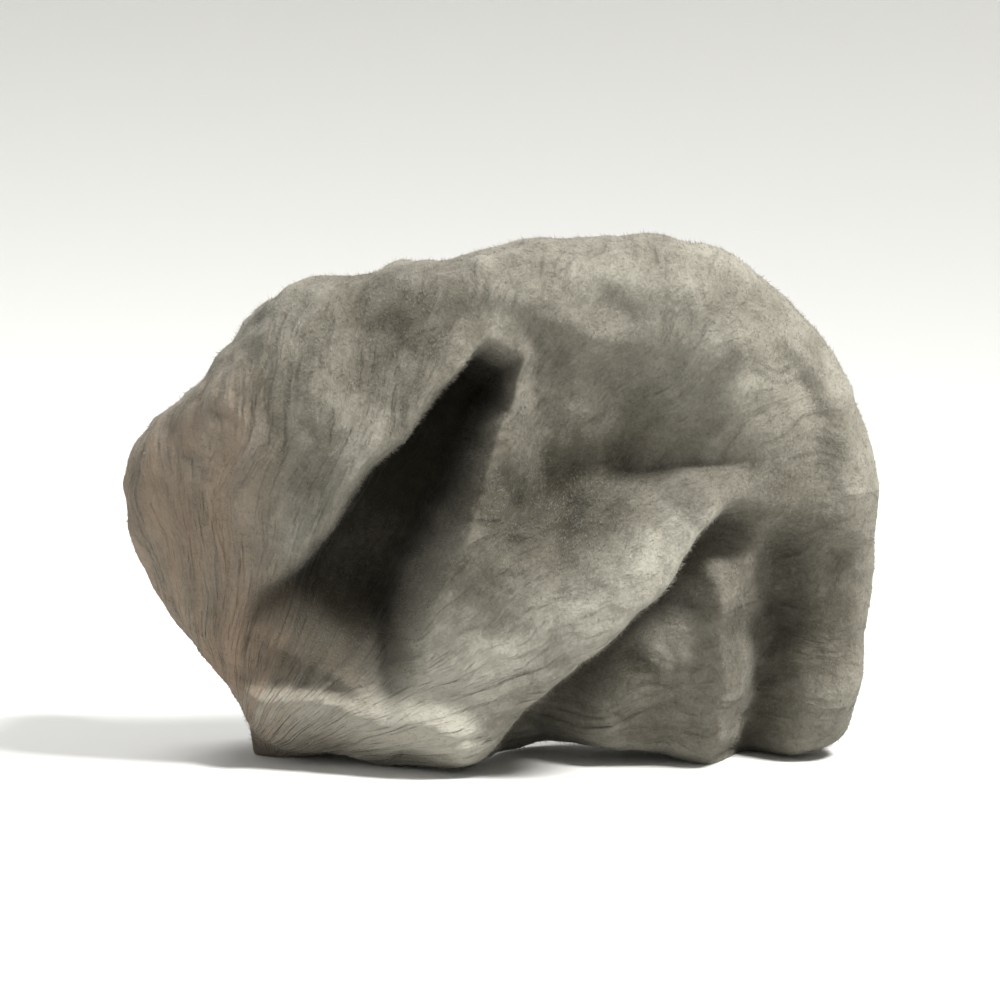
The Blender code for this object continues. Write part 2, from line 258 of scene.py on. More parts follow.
def mesh_object(name: str, points: np.ndarray, faces: list[np.ndarray]) -> bpy.types.Object:
    """A smooth mesh in the scene.

    Args:
        name: the piece's name.
        points: its points, in millimetres.
        faces: arrays of point numbers, one row for each face, each array with its own corner count.

    Returns:
        The object, at the origin.
    """
    corners = np.concatenate([group.ravel() for group in faces]).astype(np.int32)
    sizes = np.concatenate([np.full(len(group), group.shape[1]) for group in faces])
    mesh = bpy.data.meshes.new(name)
    mesh.vertices.add(len(points))
    mesh.vertices.foreach_set("co", (points * MM).astype(np.float32).ravel())
    mesh.loops.add(len(corners))
    mesh.loops.foreach_set("vertex_index", corners)
    mesh.polygons.add(len(sizes))
    mesh.polygons.foreach_set("loop_start", (np.cumsum(sizes) - sizes).astype(np.int32))
    mesh.update(calc_edges=True)
    mesh.shade_smooth()
    thing = bpy.data.objects.new(name, mesh)
    bpy.context.collection.objects.link(thing)
    return thing


def give_values(mesh: bpy.types.Mesh, name: str, values: np.ndarray) -> None:
    """Stores values for the points of a mesh.

    Args:
        mesh: the mesh.
        name: what the finishes call them.
        values: one number, or one (x, y, z), for each point.
    """
    vector = values.ndim == 2
    attribute = mesh.attributes.new(name, "FLOAT_VECTOR" if vector else "FLOAT", "POINT")
    attribute.data.foreach_set("vector" if vector else "value", values.astype(np.float32).ravel())


@dataclass(frozen=True)
class Fold:
    """A fold that follows a line on the unrolled sheet.

    Attributes:
        start, end: the ends of its line, as (a, b).
        width: its half width at either end.
        shift: how far its middle is moved, as (x, y, z); +y is into the ear.
        bow: how far the line bends sideways halfway along.
        taper: over what length it fades out at either end.
        power: 2 is a soft round fold, more is flatter in the middle with steeper sides.
        side: share of the width that the right-hand side of the line has.
    """

    start: tuple[float, float]
    end: tuple[float, float]
    width: tuple[float, float]
    shift: tuple[float, float, float]
    bow: float = 0.0
    taper: tuple[float, float] = (4.0, 4.0)
    power: float = 2.0
    side: float = 1.0

    @property
    def is_ridge(self) -> bool:
        """Whether the fold stands out towards the front."""
        return self.shift[1] < -WALL_DENT_DEPTH

    @property
    def is_of_front(self) -> bool:
        """Whether the fold is of the front, not a dent in the walls behind it."""
        return abs(self.shift[1]) > WALL_DENT_DEPTH

    def strength(
        self, a: np.ndarray, b: np.ndarray, wider: float = 0.0, steepest: float = np.inf
    ) -> np.ndarray:
        """Share of the shift at each place.

        It is exp(-|distance from the line / width| ^ power), times an easing at either end.

        Args:
            a, b: the place on the unrolled sheet.
            wider: added to the half width.
            steepest: the power is held to this.

        Returns:
            1 along the line, falling to 0 at its sides and ends.
        """
        run_a, run_b = self.end[0] - self.start[0], self.end[1] - self.start[1]
        length = float(np.hypot(run_a, run_b))
        run_a, run_b = run_a / length, run_b / length
        along = (a - self.start[0]) * run_a + (b - self.start[1]) * run_b
        across = (b - self.start[1]) * run_a - (a - self.start[0]) * run_b
        part = along / length
        across = across - self.bow * 4 * part * (1 - part)
        width = self.width[0] + (self.width[1] - self.width[0]) * np.clip(part, 0, 1)
        width = np.where(across < 0, width * self.side, width) + wider
        reach = REACH_OF_WIDTH * wider
        ends = ease((along + reach) / self.taper[0] + 0.5)
        ends = ends * ease((length + reach - along) / self.taper[1] + 0.5)
        return ends * np.exp(-np.abs(across / width) ** min(self.power, steepest))

    def strength_behind(self, a: np.ndarray, b: np.ndarray) -> np.ndarray:
        """The same on the dark side, where a ridge is narrower, a valley wider and a steep one rounder.

        Args:
            a, b: the place on the unrolled sheet.

        Returns:
            The share of the shift at each place.
        """
        if self.is_ridge:
            return RIDGE_SHARE_BEHIND * self.strength(a, b, -RIDGE_NARROWER_BEHIND * min(self.width))
        if self.power > STEEP_POWER:
            return STEEP_SHARE_BEHIND * self.strength(a, b, SKIN_THICKNESS, STEEP_POWER)
        return self.strength(a, b, VALLEY_WIDER_BEHIND * SKIN_THICKNESS)


FOLDS = (
    # The broad swell of the whole front, and the pillow on its left with its rounded right edge.
    Fold((-9, -1), (6, 2), (9, 9), (0, -0.8, 0), taper=(6, 6)),
    Fold((-14, 3.0), (-7.5, 6.0), (4.5, 4.5), (0, -1.7, 0)),
    Fold((-3.1, 6.3), (-11.8, -4.7), (0.9, 0.9), (0, -0.6, 0), taper=(3, 3)),
    # The deep slanting cleft beside the pillow: deepest in its upper half, and open down to the lip.
    Fold((-1.1, 6.1), (-7.6, -5.3), (0.9, 3.1), (-0.7, 3.8, 0.4), taper=(2.6, 4.6), power=8),
    Fold((-1.1, 6.1), (-8.5, -6.4), (0.9, 3.6), (0, 3.8, 0), taper=(2.6, 2.8), power=7),
    # The hollow under the upper rim, the narrow ridge on its left, and the crease at its foot.
    Fold((-0.2, 1.6), (7.8, 2.7), (6.4, 5.0), (0, 3.2, -0.3), bow=0.6, taper=(3.5, 5.0), power=1.9, side=0.8),
    Fold((0.3, 7.0), (-0.3, 2.0), (0.6, 0.6), (0, -0.5, 0), taper=(2, 2)),
    Fold((-1.8, -0.8), (10.0, 2.4), (1.5, 0.6), (0, 1.2, -0.6), bow=1.3, taper=(2.5, 3), power=1.8),
    # The flap: its crest, the lip along its lower edge, the drop on its right and two short wrinkles.
    Fold((-3.9, -13.4), (9.6, 0.8), (7.4, 2.8), (0.5, -3.0, -0.4), taper=(5, 3), power=1.3, side=0.4),
    Fold((-13.6, -9.4), (-2.5, -10.6), (0.8, 0.9), (0, -1.1, 0.2), bow=0.4, taper=(3, 3)),
    Fold((10.9, -0.9), (-4.3, -18.9), (1.0, 1.7), (-1.1, 4.1, 0.8), bow=-0.3, taper=(2.9, 6), power=2.5),
    Fold((0.1, 1.0), (-0.6, -2.4), (0.6, 0.6), (0, 0.6, 0), taper=(2, 2)),
    Fold((2.4, 0.9), (1.5, -1.8), (0.5, 0.5), (0, 0.5, 0), taper=(2, 2)),
    # The lobe at the lower right, with a thin ridge and a valley to its left.
    Fold((10.0, -2.4), (8.9, -13.0), (0.8, 1.0), (0, -1.2, 0), bow=0.3, taper=(4, 5), power=1.6),
    Fold((13.0, -1.8), (9.8, -20.0), (1.0, 1.4), (-0.3, 2.4, 0.2), bow=0.3, taper=(4, 6)),
    Fold((12.8, -2.0), (15.8, -2.8), (1.3, 1.4), (0, 0.9, 0.2), taper=(3, 3)),
    Fold((15.0, -3.0), (8.5, -24.0), (4.0, 4.8), (0, 1.5, 0), taper=(4, 8)),
    # The upper rim: a low ridge along it, and a ridge and a crease down its right side.
    Fold((-1.0, 10.0), (13.0, 7.0), (1.2, 1.2), (0, -0.5, 0), bow=-1.2),
    Fold((10.5, 8.0), (10.6, 3.4), (0.8, 0.8), (0, -0.5, 0), taper=(3, 3)),
    Fold((12.6, 6.2), (14.4, 0.2), (0.9, 0.9), (0, 0.8, 0), bow=0.4),
    # Dents in the top and the side walls, behind the outline.
    Fold((3.5, 15.0), (5.5, 27.0), (2.2, 3.4), (0.2, 0, -1.5), taper=(4, 5)),
    Fold((-20.0, 9.6), (-27.0, 13.0), (1.5, 2.2), (1.5, 0.2, -0.8), taper=(4, 5)),
    Fold((-20.0, -1.0), (-30.0, -4.0), (1.5, 2.4), (1.6, 0, 0.5), taper=(4, 5)),
    Fold((21.0, 5.0), (31.0, 8.0), (1.5, 2.4), (-1.7, 0, -0.6), taper=(4, 5)),
    Fold((20.0, -9.0), (29.0, -14.0), (1.4, 2.2), (-1.4, 0, 0.7), taper=(4, 5)),
)


@dataclass(frozen=True)
class PaintedLight:
    """Painted light or painted shade round a short line on the unrolled sheet.

    Attributes:
        start, end: the ends of its line, as (a, b).
        size: how far it spreads from the line.
        amount: how much it adds to the tone; above 0 it is painted light, below 0 painted shade.
    """

    start: tuple[float, float]
    end: tuple[float, float]
    size: float
    amount: float

    def tone(self, a: np.ndarray, b: np.ndarray) -> np.ndarray:
        """How much the painted light or shade adds to the tone.

        Args:
            a, b: the place on the unrolled sheet.

        Returns:
            The amount times exp(-(distance from the line / size)^2).
        """
        run_a, run_b = self.end[0] - self.start[0], self.end[1] - self.start[1]
        share = ((a - self.start[0]) * run_a + (b - self.start[1]) * run_b) / (run_a**2 + run_b**2)
        share = np.clip(share, 0, 1)
        away = np.hypot(a - self.start[0] - share * run_a, b - self.start[1] - share * run_b)
        return self.amount * np.exp(-((away / self.size) ** 2))


# Painted highlights and painted shade on the front of the felt, standing in for how its folds are lit.
PAINTED_LIGHT_AND_SHADE = (
    # Painted shade beside the crease under the hollow, and under the upper end of the cleft.
    PaintedLight((-0.8, 0.0), (3.6, 0.8), 2.4, -0.27),
    PaintedLight((-1.0, -3.4), (1.5, -2.6), 2.4, -0.22),
    PaintedLight((-0.6, 3.2), (-1.4, -0.6), 0.9, -0.12),
    # Painted shade at the cleft's foot, with one painted pale spot that lifts the shadow in its crevice, and
    # painted shade over the pillow's upper half.
    PaintedLight((-9.6, -5.4), (-6.8, -6.4), 1.8, -0.26),
    PaintedLight((-11.8, -6.4), (-8.2, -6.9), 1.5, -0.30),
    PaintedLight((-6.1, -7.2), (-5.9, -8.6), 0.8, 0.34),
    PaintedLight((-7.6, 9.6), (-4.4, 8.6), 1.8, -0.10),
    PaintedLight((-9.5, 3.5), (-5.5, 8.5), 3.4, -0.22),
    # The drop: painted light that lifts its shadow along its length, and painted shade beside its foot.
    PaintedLight((9.5, -1.4), (10.4, -2.4), 0.9, 0.26),
    PaintedLight((8.5, -4.6), (7.2, -6.8), 0.9, 0.15),
    PaintedLight((5.2, -7.0), (3.4, -9.2), 0.8, 0.22),
    PaintedLight((6.8, -8.4), (6.6, -11.2), 1.2, -0.20),
    # Painted shade along the thin ridge and on the lobe.
    PaintedLight((11.2, -3.6), (10.7, -5.6), 0.9, -0.24),
    PaintedLight((10.3, -6.0), (10.2, -10.0), 0.8, -0.20),
    PaintedLight((12.9, -0.2), (14.6, -1.2), 1.2, -0.18),
    PaintedLight((14.6, -5.2), (14.8, -8.0), 1.2, -0.08),
    # Painted highlights on the upper rim and at the pillow's edges, and painted light in the hollow below the
    # rim.
    PaintedLight((-1.0, 11.0), (11.0, 9.5), 1.8, 0.06),
    PaintedLight((3.2, 10.8), (8.4, 10.4), 0.9, 0.14),
    PaintedLight((14.0, 5.0), (15.3, 2.2), 2.0, 0.10),
    PaintedLight((4.8, 7.6), (9.6, 6.2), 1.5, 0.10),
    PaintedLight((8.6, 4.6), (8.2, 2.8), 1.2, 0.10),
    PaintedLight((-4.8, 6.2), (-11.0, -2.8), 0.9, 0.08),
    PaintedLight((-12.4, 8.0), (-14.2, 4.6), 1.4, 0.07),
    # Painted highlights along the flap's edge and on the lip.
    PaintedLight((7.2, -0.6), (-3.6, -8.2), 1.6, 0.30),
    PaintedLight((-1.6, -7.0), (-4.6, -8.6), 1.5, 0.20),
    PaintedLight((-12.0, -9.6), (-3.0, -10.2), 1.2, 0.52),
)


@dataclass(frozen=True)
class Crinkle:
    """Sharp lines that fan out from the foot, where smooth waves cross zero.

    The sheet is raised by height * (rise - fall * |waves|), which has a sharp line wherever the
    waves are 0.

    Attributes:
        height: in millimetres; below 0 the lines are grooves.
        across: waves for each radian round the foot.
        along: size of the waves away from the foot, in millimetres.
        rise, fall: how high the lines are, and how steeply the sheet falls beside them.
        seed: picks one scatter.
    """

    height: float
    across: float
    along: float
    rise: float
    fall: float
    seed: int

    def raised(self, bearing: np.ndarray, distance: np.ndarray) -> np.ndarray:
        """How far the sheet is raised.

        Args:
            bearing, distance: the place as seen from the corner that the lines fan out from.

        Returns:
            The rise in millimetres.
        """
        wave = waves(bearing * self.across, distance / self.along, 2, self.seed)
        return self.height * (self.rise - self.fall * np.abs(wave))


@dataclass(frozen=True)
class FeltTones:
    """How the shape of the sheet sets the tones of its felt, as painted light and shade. Lengths are in
    millimetres.

    Attributes:
        middle: the tone of plain felt, from 0 in the depths to 1 on the crests.
        crisp, soft, hollow: what each millimetre of crisp waves, of soft waves and of hollow adds: painted
            light on the crests and painted shade in the hollows and creases.
        dark_from, dark_over: how deep the painted shade of the cleft's floor begins, and over what depth it
            grows.
        dark_uneven, dark_size: how far that depth wavers, and over what length.
        less_cleft_shade: where that painted shade is made lighter, near the cleft's foot.
        flank: how tan the left flank is.
        flank_side, flank_top: how far left of the middle and below what height over it that tan
            begins, each with the length over which it grows.
        flank_behind: what share of its tan the flank loses on the walls.
        foot, foot_reach: how tan the felt is near the foot, and within what distance, with the
            length over which it grows.
        rim: width of the margin's own tone.
        grain_turn, grain_size: how far streaks waver in their bearing, in radians, and over what
            length.
        grain_across, grain_along: units of the streaks' place for each radian round the foot, and
            for each millimetre away from it.
    """

    middle: float = 0.48
    crisp: float = 0.6
    soft: float = 0.1
    hollow: float = -0.05
    dark_from: float = 2.9
    dark_over: float = 2.4
    dark_uneven: float = 1.1
    dark_size: float = 1.7
    # Here the painted shade of the cleft's floor is made lighter.
    less_cleft_shade: PaintedLight = PaintedLight((-9.0, -4.8), (-6.2, -2.2), 1.7, 0.55)
    flank: float = 0.8
    flank_side: Range = (9.5, 4.0)
    flank_top: Range = (9.0, 7.0)
    flank_behind: float = 0.6
    foot: float = 0.24
    foot_reach: Range = (13.0, 9.0)
    rim: float = 2.6
    grain_turn: float = 0.035
    grain_size: float = 3.2
    grain_across: float = 4.0
    grain_along: float = 1 / 20


@dataclass
class CurledSheet:
    """The sheet of the ear, worked out on rings that run from the middle of the front to the margin.

    Along each direction from the middle it runs flat to the bend, round the bend, straight back
    as the side wall, and then round the roll of the margin.

    Attributes:
        outline: the ear seen from the front: angle in degrees from +X, distance from the middle.
        roll: how the sheet turns back behind the outline: angle, radius of the bend, length of the
            side wall, angle through which the margin has turned at its end, radius of its roll.
        skin, margin_skin: thickness in the middle and at the margin.
        middle_height: height of the middle of the front over the ground.
        dome: how far the front falls back at its outline.
        draft: how much the walls lean in, for each millimetre of their length.
        centring: moves the middle of the ear's box over the origin, in x and y.
        foot_place, foot_radius, foot_blend: the cut foot, and the width over which it is drawn down.
        foot_rise: below this height the sheet is drawn down to the cut.
        foot_ease: over what height that begins.
        fan_corner: streaks and lines fan out from (-fan_corner, -fan_corner) on the unrolled sheet.
        fan_clear: how far from that corner the lines begin, and over what length they grow.
        margin_wave, margin_waves: how far the margin waves forwards and back, and how many waves
            it has for each radian round the ear.
        shortest_wall: the wall is nowhere shorter than this.
        backing: how much thicker the skin is made, so that the crisp waves of the felt side leave
            enough of it.
        ground_skin: share of the margin's thickness that the dark side keeps over the ground.
        front_reach: how far round the bend, in its radii, the folds of the front follow the sheet.
        behind_pace: how soon the sheet counts as behind the front; 1 is only at the margin.
        calm: how far from the middle the unevenness has grown to its full height.
        broad_size, crackle_size: size of the broad waves and of the crackle.
        broad, pleating: height of the broad waves and share of the pleats on the front, and what
            the walls add to it.
        pleats, fine, puckers, creping: the lines that fan out from the foot.
        pucker_wander: how many times as closely as the folds the puckers wander.
        crackle: height of the crackle of the felt.
        tones: how its shape sets the felt's tones, as painted light and shade.
        rings, margin_rings, columns: the grid's size; more gives a finer surface.
    """

    outline: Table = (
        (0, 17.1), (14, 16.5), (30, 15.8), (47, 15.0), (61, 13.6), (75, 12.5), (90, 12.0),
        (106, 11.9), (117, 12.1), (127, 12.8), (136, 14.4), (142, 15.2), (150, 15.5), (158, 15.9),
        (164, 16.6), (170, 17.4), (180, 18.1), (188, 17.7), (197, 16.8), (208, 16.0), (216, 15.9),
        (224, 16.3), (236, 14.3), (251, 12.9), (269, 12.2), (280, 11.9), (290, 12.3), (300, 13.8),
        (308, 15.7), (316, 17.7), (323, 19.2), (330, 18.9), (338, 18.1), (349, 17.3),
    )
    roll: Table = (
        (0, 3.0, 8.0, 165, 2.6), (25, 3.2, 6.5, 150, 2.8), (45, 3.4, 5.0, 185, 2.6),
        (68, 3.2, 4.0, 190, 2.8), (90, 3.2, 5.0, 175, 3.0), (112, 3.0, 4.0, 178, 3.0),
        (135, 3.0, 5.0, 155, 3.0), (158, 2.8, 7.0, 140, 2.8), (180, 2.6, 8.0, 150, 2.4),
        (200, 2.4, 8.5, 125, 2.4), (218, 2.2, 8.5, 105, 2.0), (240, 1.8, 5.5, 95, 1.8),
        (262, 1.6, 2.5, 92, 1.6), (285, 1.8, 3.0, 95, 1.6), (305, 2.2, 6.5, 105, 2.0),
        (325, 2.4, 9.0, 125, 2.4), (345, 2.8, 9.5, 150, 2.4),
    )
    skin: float = SKIN_THICKNESS
    margin_skin: float = MARGIN_THICKNESS
    middle_height: float = 12.5
    dome: float = 2.2
    draft: float = 0.13
    centring: tuple[float, float] = (0.55, -7.6)
    foot_place: tuple[float, float] = (-10.6, 6.8)
    foot_radius: float = 1.9
    foot_blend: float = 1.5
    foot_rise: float = 3.6
    foot_ease: float = 1.4
    fan_corner: float = 14.0
    fan_clear: Range = (1.5, 6.0)
    margin_wave: float = 1.6
    margin_waves: float = 2.6
    shortest_wall: float = 0.8
    backing: float = 0.1
    ground_skin: float = 0.8
    front_reach: float = 0.8
    behind_pace: float = 1.3
    calm: float = 6.0
    broad_size: float = 6.5
    crackle_size: float = 3.1
    broad: Range = (0.4, 0.4)
    pleating: Range = (0.1, 0.32)
    pleats: Crinkle = Crinkle(1.0, 4.5, 12.0, 0.6, 2.2, 23)
    fine: Crinkle = Crinkle(0.05, 9.0, 8.0, 0.5, 2.0, 11)
    puckers: Crinkle = Crinkle(-0.12, 12.0, 2.4, 0.6, 2.2, 61)
    creping: Crinkle = Crinkle(0.05, 20.0, 7.0, 0.6, 2.0, 83)
    pucker_wander: float = 1.6
    crackle: float = 0.12
    tones: FeltTones = FeltTones()
    rings: int = 150
    margin_rings: int = 4
    columns: int = 420

    def __post_init__(self) -> None:
        """Works out both sides of the sheet."""
        self.angle = np.arange(self.columns) / self.columns * 2 * np.pi
        self.lay_out()
        self.measure_crumple()
        self.fold()

    def lay_out(self) -> None:
        """The plain curled sheet: points, normals and places on the unrolled sheet.

        A point s along its direction lies out by what of s is flat, plus bend * sin(its angle
        round the bend), less the draft of its wall, less curl * (1 - cos(its angle round the roll)).
        It lies back by bend * (1 - cos(the first angle)), plus its wall, plus curl * sin(the second
        angle), plus the dome times the square of its share of the way to the outline.
        """
        cos, sin = np.cos(self.angle), np.sin(self.angle)
        radius = round_the_ear(self.outline, 1, self.angle)
        bend, wall, turn, curl = (round_the_ear(self.roll, k, self.angle) for k in (1, 2, 3, 4))
        wave = waves(cos * self.margin_waves + 9.1, sin * self.margin_waves + 4.2, 2, 3)
        wall = np.maximum(wall + self.margin_wave * wave, self.shortest_wall)
        turn = np.radians(turn)
        flat = radius - bend
        self.length = flat + bend * np.pi / 2 + wall + curl * (turn - np.pi / 2)
        edge = self.margin_skin / 2
        inner_rings = np.linspace(0, 1, self.rings + 1)[:, None] * (self.length - edge)
        quarter = np.sin(np.arange(1, self.margin_rings + 1) / self.margin_rings * np.pi / 2)
        self.s = np.concatenate([inner_rings, self.length - edge + edge * quarter[:, None]])
        on_flat = np.clip(self.s, 0, flat)
        on_bend = np.clip((self.s - flat) / bend, 0, np.pi / 2)
        on_wall = np.clip(self.s - flat - bend * np.pi / 2, 0, wall)
        on_curl = np.clip((self.s - flat - bend * np.pi / 2 - wall) / curl, 0, None)
        draft = self.draft * (0.5 + 0.5 * sin) * on_wall
        out = on_flat + bend * np.sin(on_bend) - draft - curl * (1 - np.cos(on_curl))
        back = bend * (1 - np.cos(on_bend)) + on_wall + curl * np.sin(on_curl)
        back = back + self.dome * (on_flat / radius) ** 2
        self.points = np.stack([out * cos, back, self.middle_height + out * sin], -1)
        self.normals = outward_normals(self.points)
        self.a, self.b = self.s * cos, self.s * sin
        held = np.minimum(self.s, flat + self.front_reach * bend)
        self.front_a, self.front_b = held * cos, held * sin
        self.behind = ease((self.s - flat) / (self.length - flat) * self.behind_pace)

    def measure_crumple(self) -> None:
        """Outward push of the uneven sheet: soft waves of both sides, and crisp ones of the felt side."""
        grow = ease(self.s / self.calm)
        from_a, from_b = self.a + self.fan_corner, self.b + self.fan_corner
        self.bearing, self.distance = np.arctan2(from_b, from_a), np.hypot(from_a, from_b)
        clear_of_foot = ease((self.distance - self.fan_clear[0]) / self.fan_clear[1])
        broad = waves(self.a / self.broad_size + 7.3, self.b / self.broad_size + 2.9, 2, 5)
        pleats = self.pleats.raised(self.bearing, self.distance) * clear_of_foot
        soft = (self.broad[0] + self.broad[1] * self.behind) * broad
        self.soft = grow * (soft + (self.pleating[0] + self.pleating[1] * self.behind) * pleats)
        crackle = 0.5 - 2 * np.abs(waves(self.a / self.crackle_size, self.b / self.crackle_size, 3, 31))
        closer = self.pucker_wander
        bent_a, bent_b = wander(closer * self.a, closer * self.b)
        bent = np.arctan2(bent_b / closer + self.fan_corner, bent_a / closer + self.fan_corner)
        crisp = self.crackle * crackle
        for lines, bearing in ((self.fine, self.bearing), (self.puckers, bent), (self.creping, self.bearing)):
            crisp = crisp + lines.raised(bearing, self.distance) * clear_of_foot
        self.crisp = grow * crisp

    def fold(self) -> None:
        """Moves both sides by the folds and the unevenness, and rounds the margin.

        Each side is the plain sheet plus strength * shift for every fold, plus its normal times the
        unevenness. At the margin both close on their middle by sqrt(1 - x^2), a half circle.
        """
        skin = self.skin + (self.margin_skin - self.skin) * self.behind
        outer = self.points.copy()
        inner = self.points - self.normals * skin[..., None]
        self.hollow = np.zeros_like(self.s)
        of_front, of_walls = wander(self.front_a, self.front_b), (self.a, self.b)
        for each in FOLDS:
            place = of_front if each.is_of_front else of_walls
            lean = 1 - self.behind if each.is_of_front else np.ones_like(self.s)
            inwards = np.full_like(lean, each.shift[1])
            shift = np.stack([each.shift[0] * lean, inwards, each.shift[2] * lean], -1)
            strength = each.strength(*place)
            outer += strength[..., None] * shift
            self.hollow += strength * each.shift[1] * (1 - self.behind)
            inner += each.strength_behind(*place)[..., None] * shift
        outer += self.normals * (self.soft + self.crisp)[..., None]
        inner += self.normals * (self.soft - self.backing)[..., None]
        self.stand(outer, inner)
        edge = self.margin_skin / 2
        over = np.clip((self.s - self.length + edge) / edge, 0, 1)
        rounding = np.sqrt(np.clip(1 - over * over, 0, 1))[..., None]
        middle = (outer + inner) / 2
        centring = np.array([*self.centring, 0.0])
        self.outer = middle + (outer - middle) * rounding + centring
        self.inner = middle + (inner - middle) * rounding + centring
        self.outer[0], self.inner[0] = self.outer[0].mean(0), self.inner[0].mean(0)

    def stand(self, outer: np.ndarray, inner: np.ndarray) -> None:
        """Draws the foot down to its flat cut and keeps everything on or above the ground.

        Args:
            outer, inner: the points of the felt side and of the dark side, changed in place.
        """
        away = np.hypot(outer[..., 0] - self.foot_place[0], outer[..., 1] - self.foot_place[1])
        low = ease((self.foot_rise - outer[..., 2]) / self.foot_ease)
        self.drawn = ease((self.foot_radius + self.foot_blend - away) / self.foot_blend) * low
        outer[..., 2] *= 1 - self.drawn
        np.maximum(outer[..., 2], 0, out=outer[..., 2])
        np.maximum(inner[..., 2], self.ground_skin * self.margin_skin, out=inner[..., 2])

    @property
    def tone(self) -> np.ndarray:
        """How pale the felt is, with painted light on its crests and painted shade in its folds.

        Returns:
            From 0 in the depths to 1 on the crests: the middle tone, plus the painted light and shade that
                the crisp waves, the soft waves and the hollow add and, on the front, the painted patches of
                light and shade.
        """
        tones = self.tones
        place = wander(self.front_a, self.front_b)
        # The front's painted patches of light and shade.
        painted_light = sum(stain.tone(*place) for stain in PAINTED_LIGHT_AND_SHADE)
        # Painted light on the crests and painted shade in the hollows, from the sheet's own shape.
        plain = tones.middle + tones.crisp * self.crisp + tones.soft * self.soft + tones.hollow * self.hollow
        return np.clip(plain + painted_light * (1 - self.behind), 0, 1)

    @property
    def deep(self) -> np.ndarray:
        """How much painted shade darkens the felt deep in a fold.

        Returns:
            0 on open felt, rising to 1 where the hollow has passed an uneven depth, and less where that
            painted shade is made lighter near the cleft's foot.
        """
        tones = self.tones
        uneven = waves(self.front_a / tones.dark_size, self.front_b / tones.dark_size, 3, 71)
        depth = self.hollow - tones.dark_from - tones.dark_uneven * uneven
        return ease(depth / tones.dark_over) * (1 - tones.less_cleft_shade.tone(self.front_a, self.front_b))

    @property
    def warm(self) -> np.ndarray:
        """How tan the felt is.

        Returns:
            From 0 to 1: the left flank below its top, less on the walls, plus the felt near the foot.
        """
        tones = self.tones
        (side, side_change), (top, top_change) = tones.flank_side, tones.flank_top
        flank = ease((-self.a - side) / side_change) * ease((top - self.b) / top_change)
        flank = flank * (1 - tones.flank_behind * self.behind)
        near_foot = ease((tones.foot_reach[0] - self.distance) / tones.foot_reach[1])
        return np.clip(tones.flank * flank + tones.foot * near_foot, 0, 1)

    @property
    def rim(self) -> np.ndarray:
        """How near the margin is: 0 away from it, 1 at the edge."""
        return ease(1 - (self.length - self.s) / self.tones.rim)

    @property
    def grain(self) -> np.ndarray:
        """A place in which patterns become wavering streaks that fan out from the foot.

        Returns:
            (cos(bearing) * across, sin(bearing) * across, distance * along) at each point, with the
            bearing turned a little by waves.
        """
        tones = self.tones
        wavering = waves(self.a / tones.grain_size, self.b / tones.grain_size, 2, 91)
        bearing = self.bearing + tones.grain_turn * wavering
        round_foot = np.stack([np.cos(bearing), np.sin(bearing)], -1) * tones.grain_across
        return np.concatenate([round_foot, self.distance[..., None] * tones.grain_along], -1)


@dataclass(frozen=True)
class Pattern:
    """A fixed pattern of soft patches in a finish.

    Attributes:
        scale: patches for each metre, or for each unit of the place that it is read in.
        detail: how many finer sizes are added.
        roughness: how strong the finer sizes are.
        weight: how much it adds to the tone.
        height: how high it raises the surface, in millimetres.
    """

    scale: float
    detail: float
    roughness: float
    weight: float = 0.0
    height: float = 0.0


@dataclass(frozen=True)
class Creases:
    """Winding creases in a finish, where a pattern crosses its middle value.

    Attributes:
        scale: how many for each unit of the place that they are read in.
        width: how far from its middle value the pattern still counts as a crease.
        weight: how much paler the felt between them is.
        height: how high the felt between them stands, in millimetres.
    """

    scale: float
    width: float
    weight: float = 0.0
    height: float = 0.0

    @property
    def pattern(self) -> Pattern:
        """The pattern that they are found in."""
        return Pattern(self.scale, 3, 0.5)


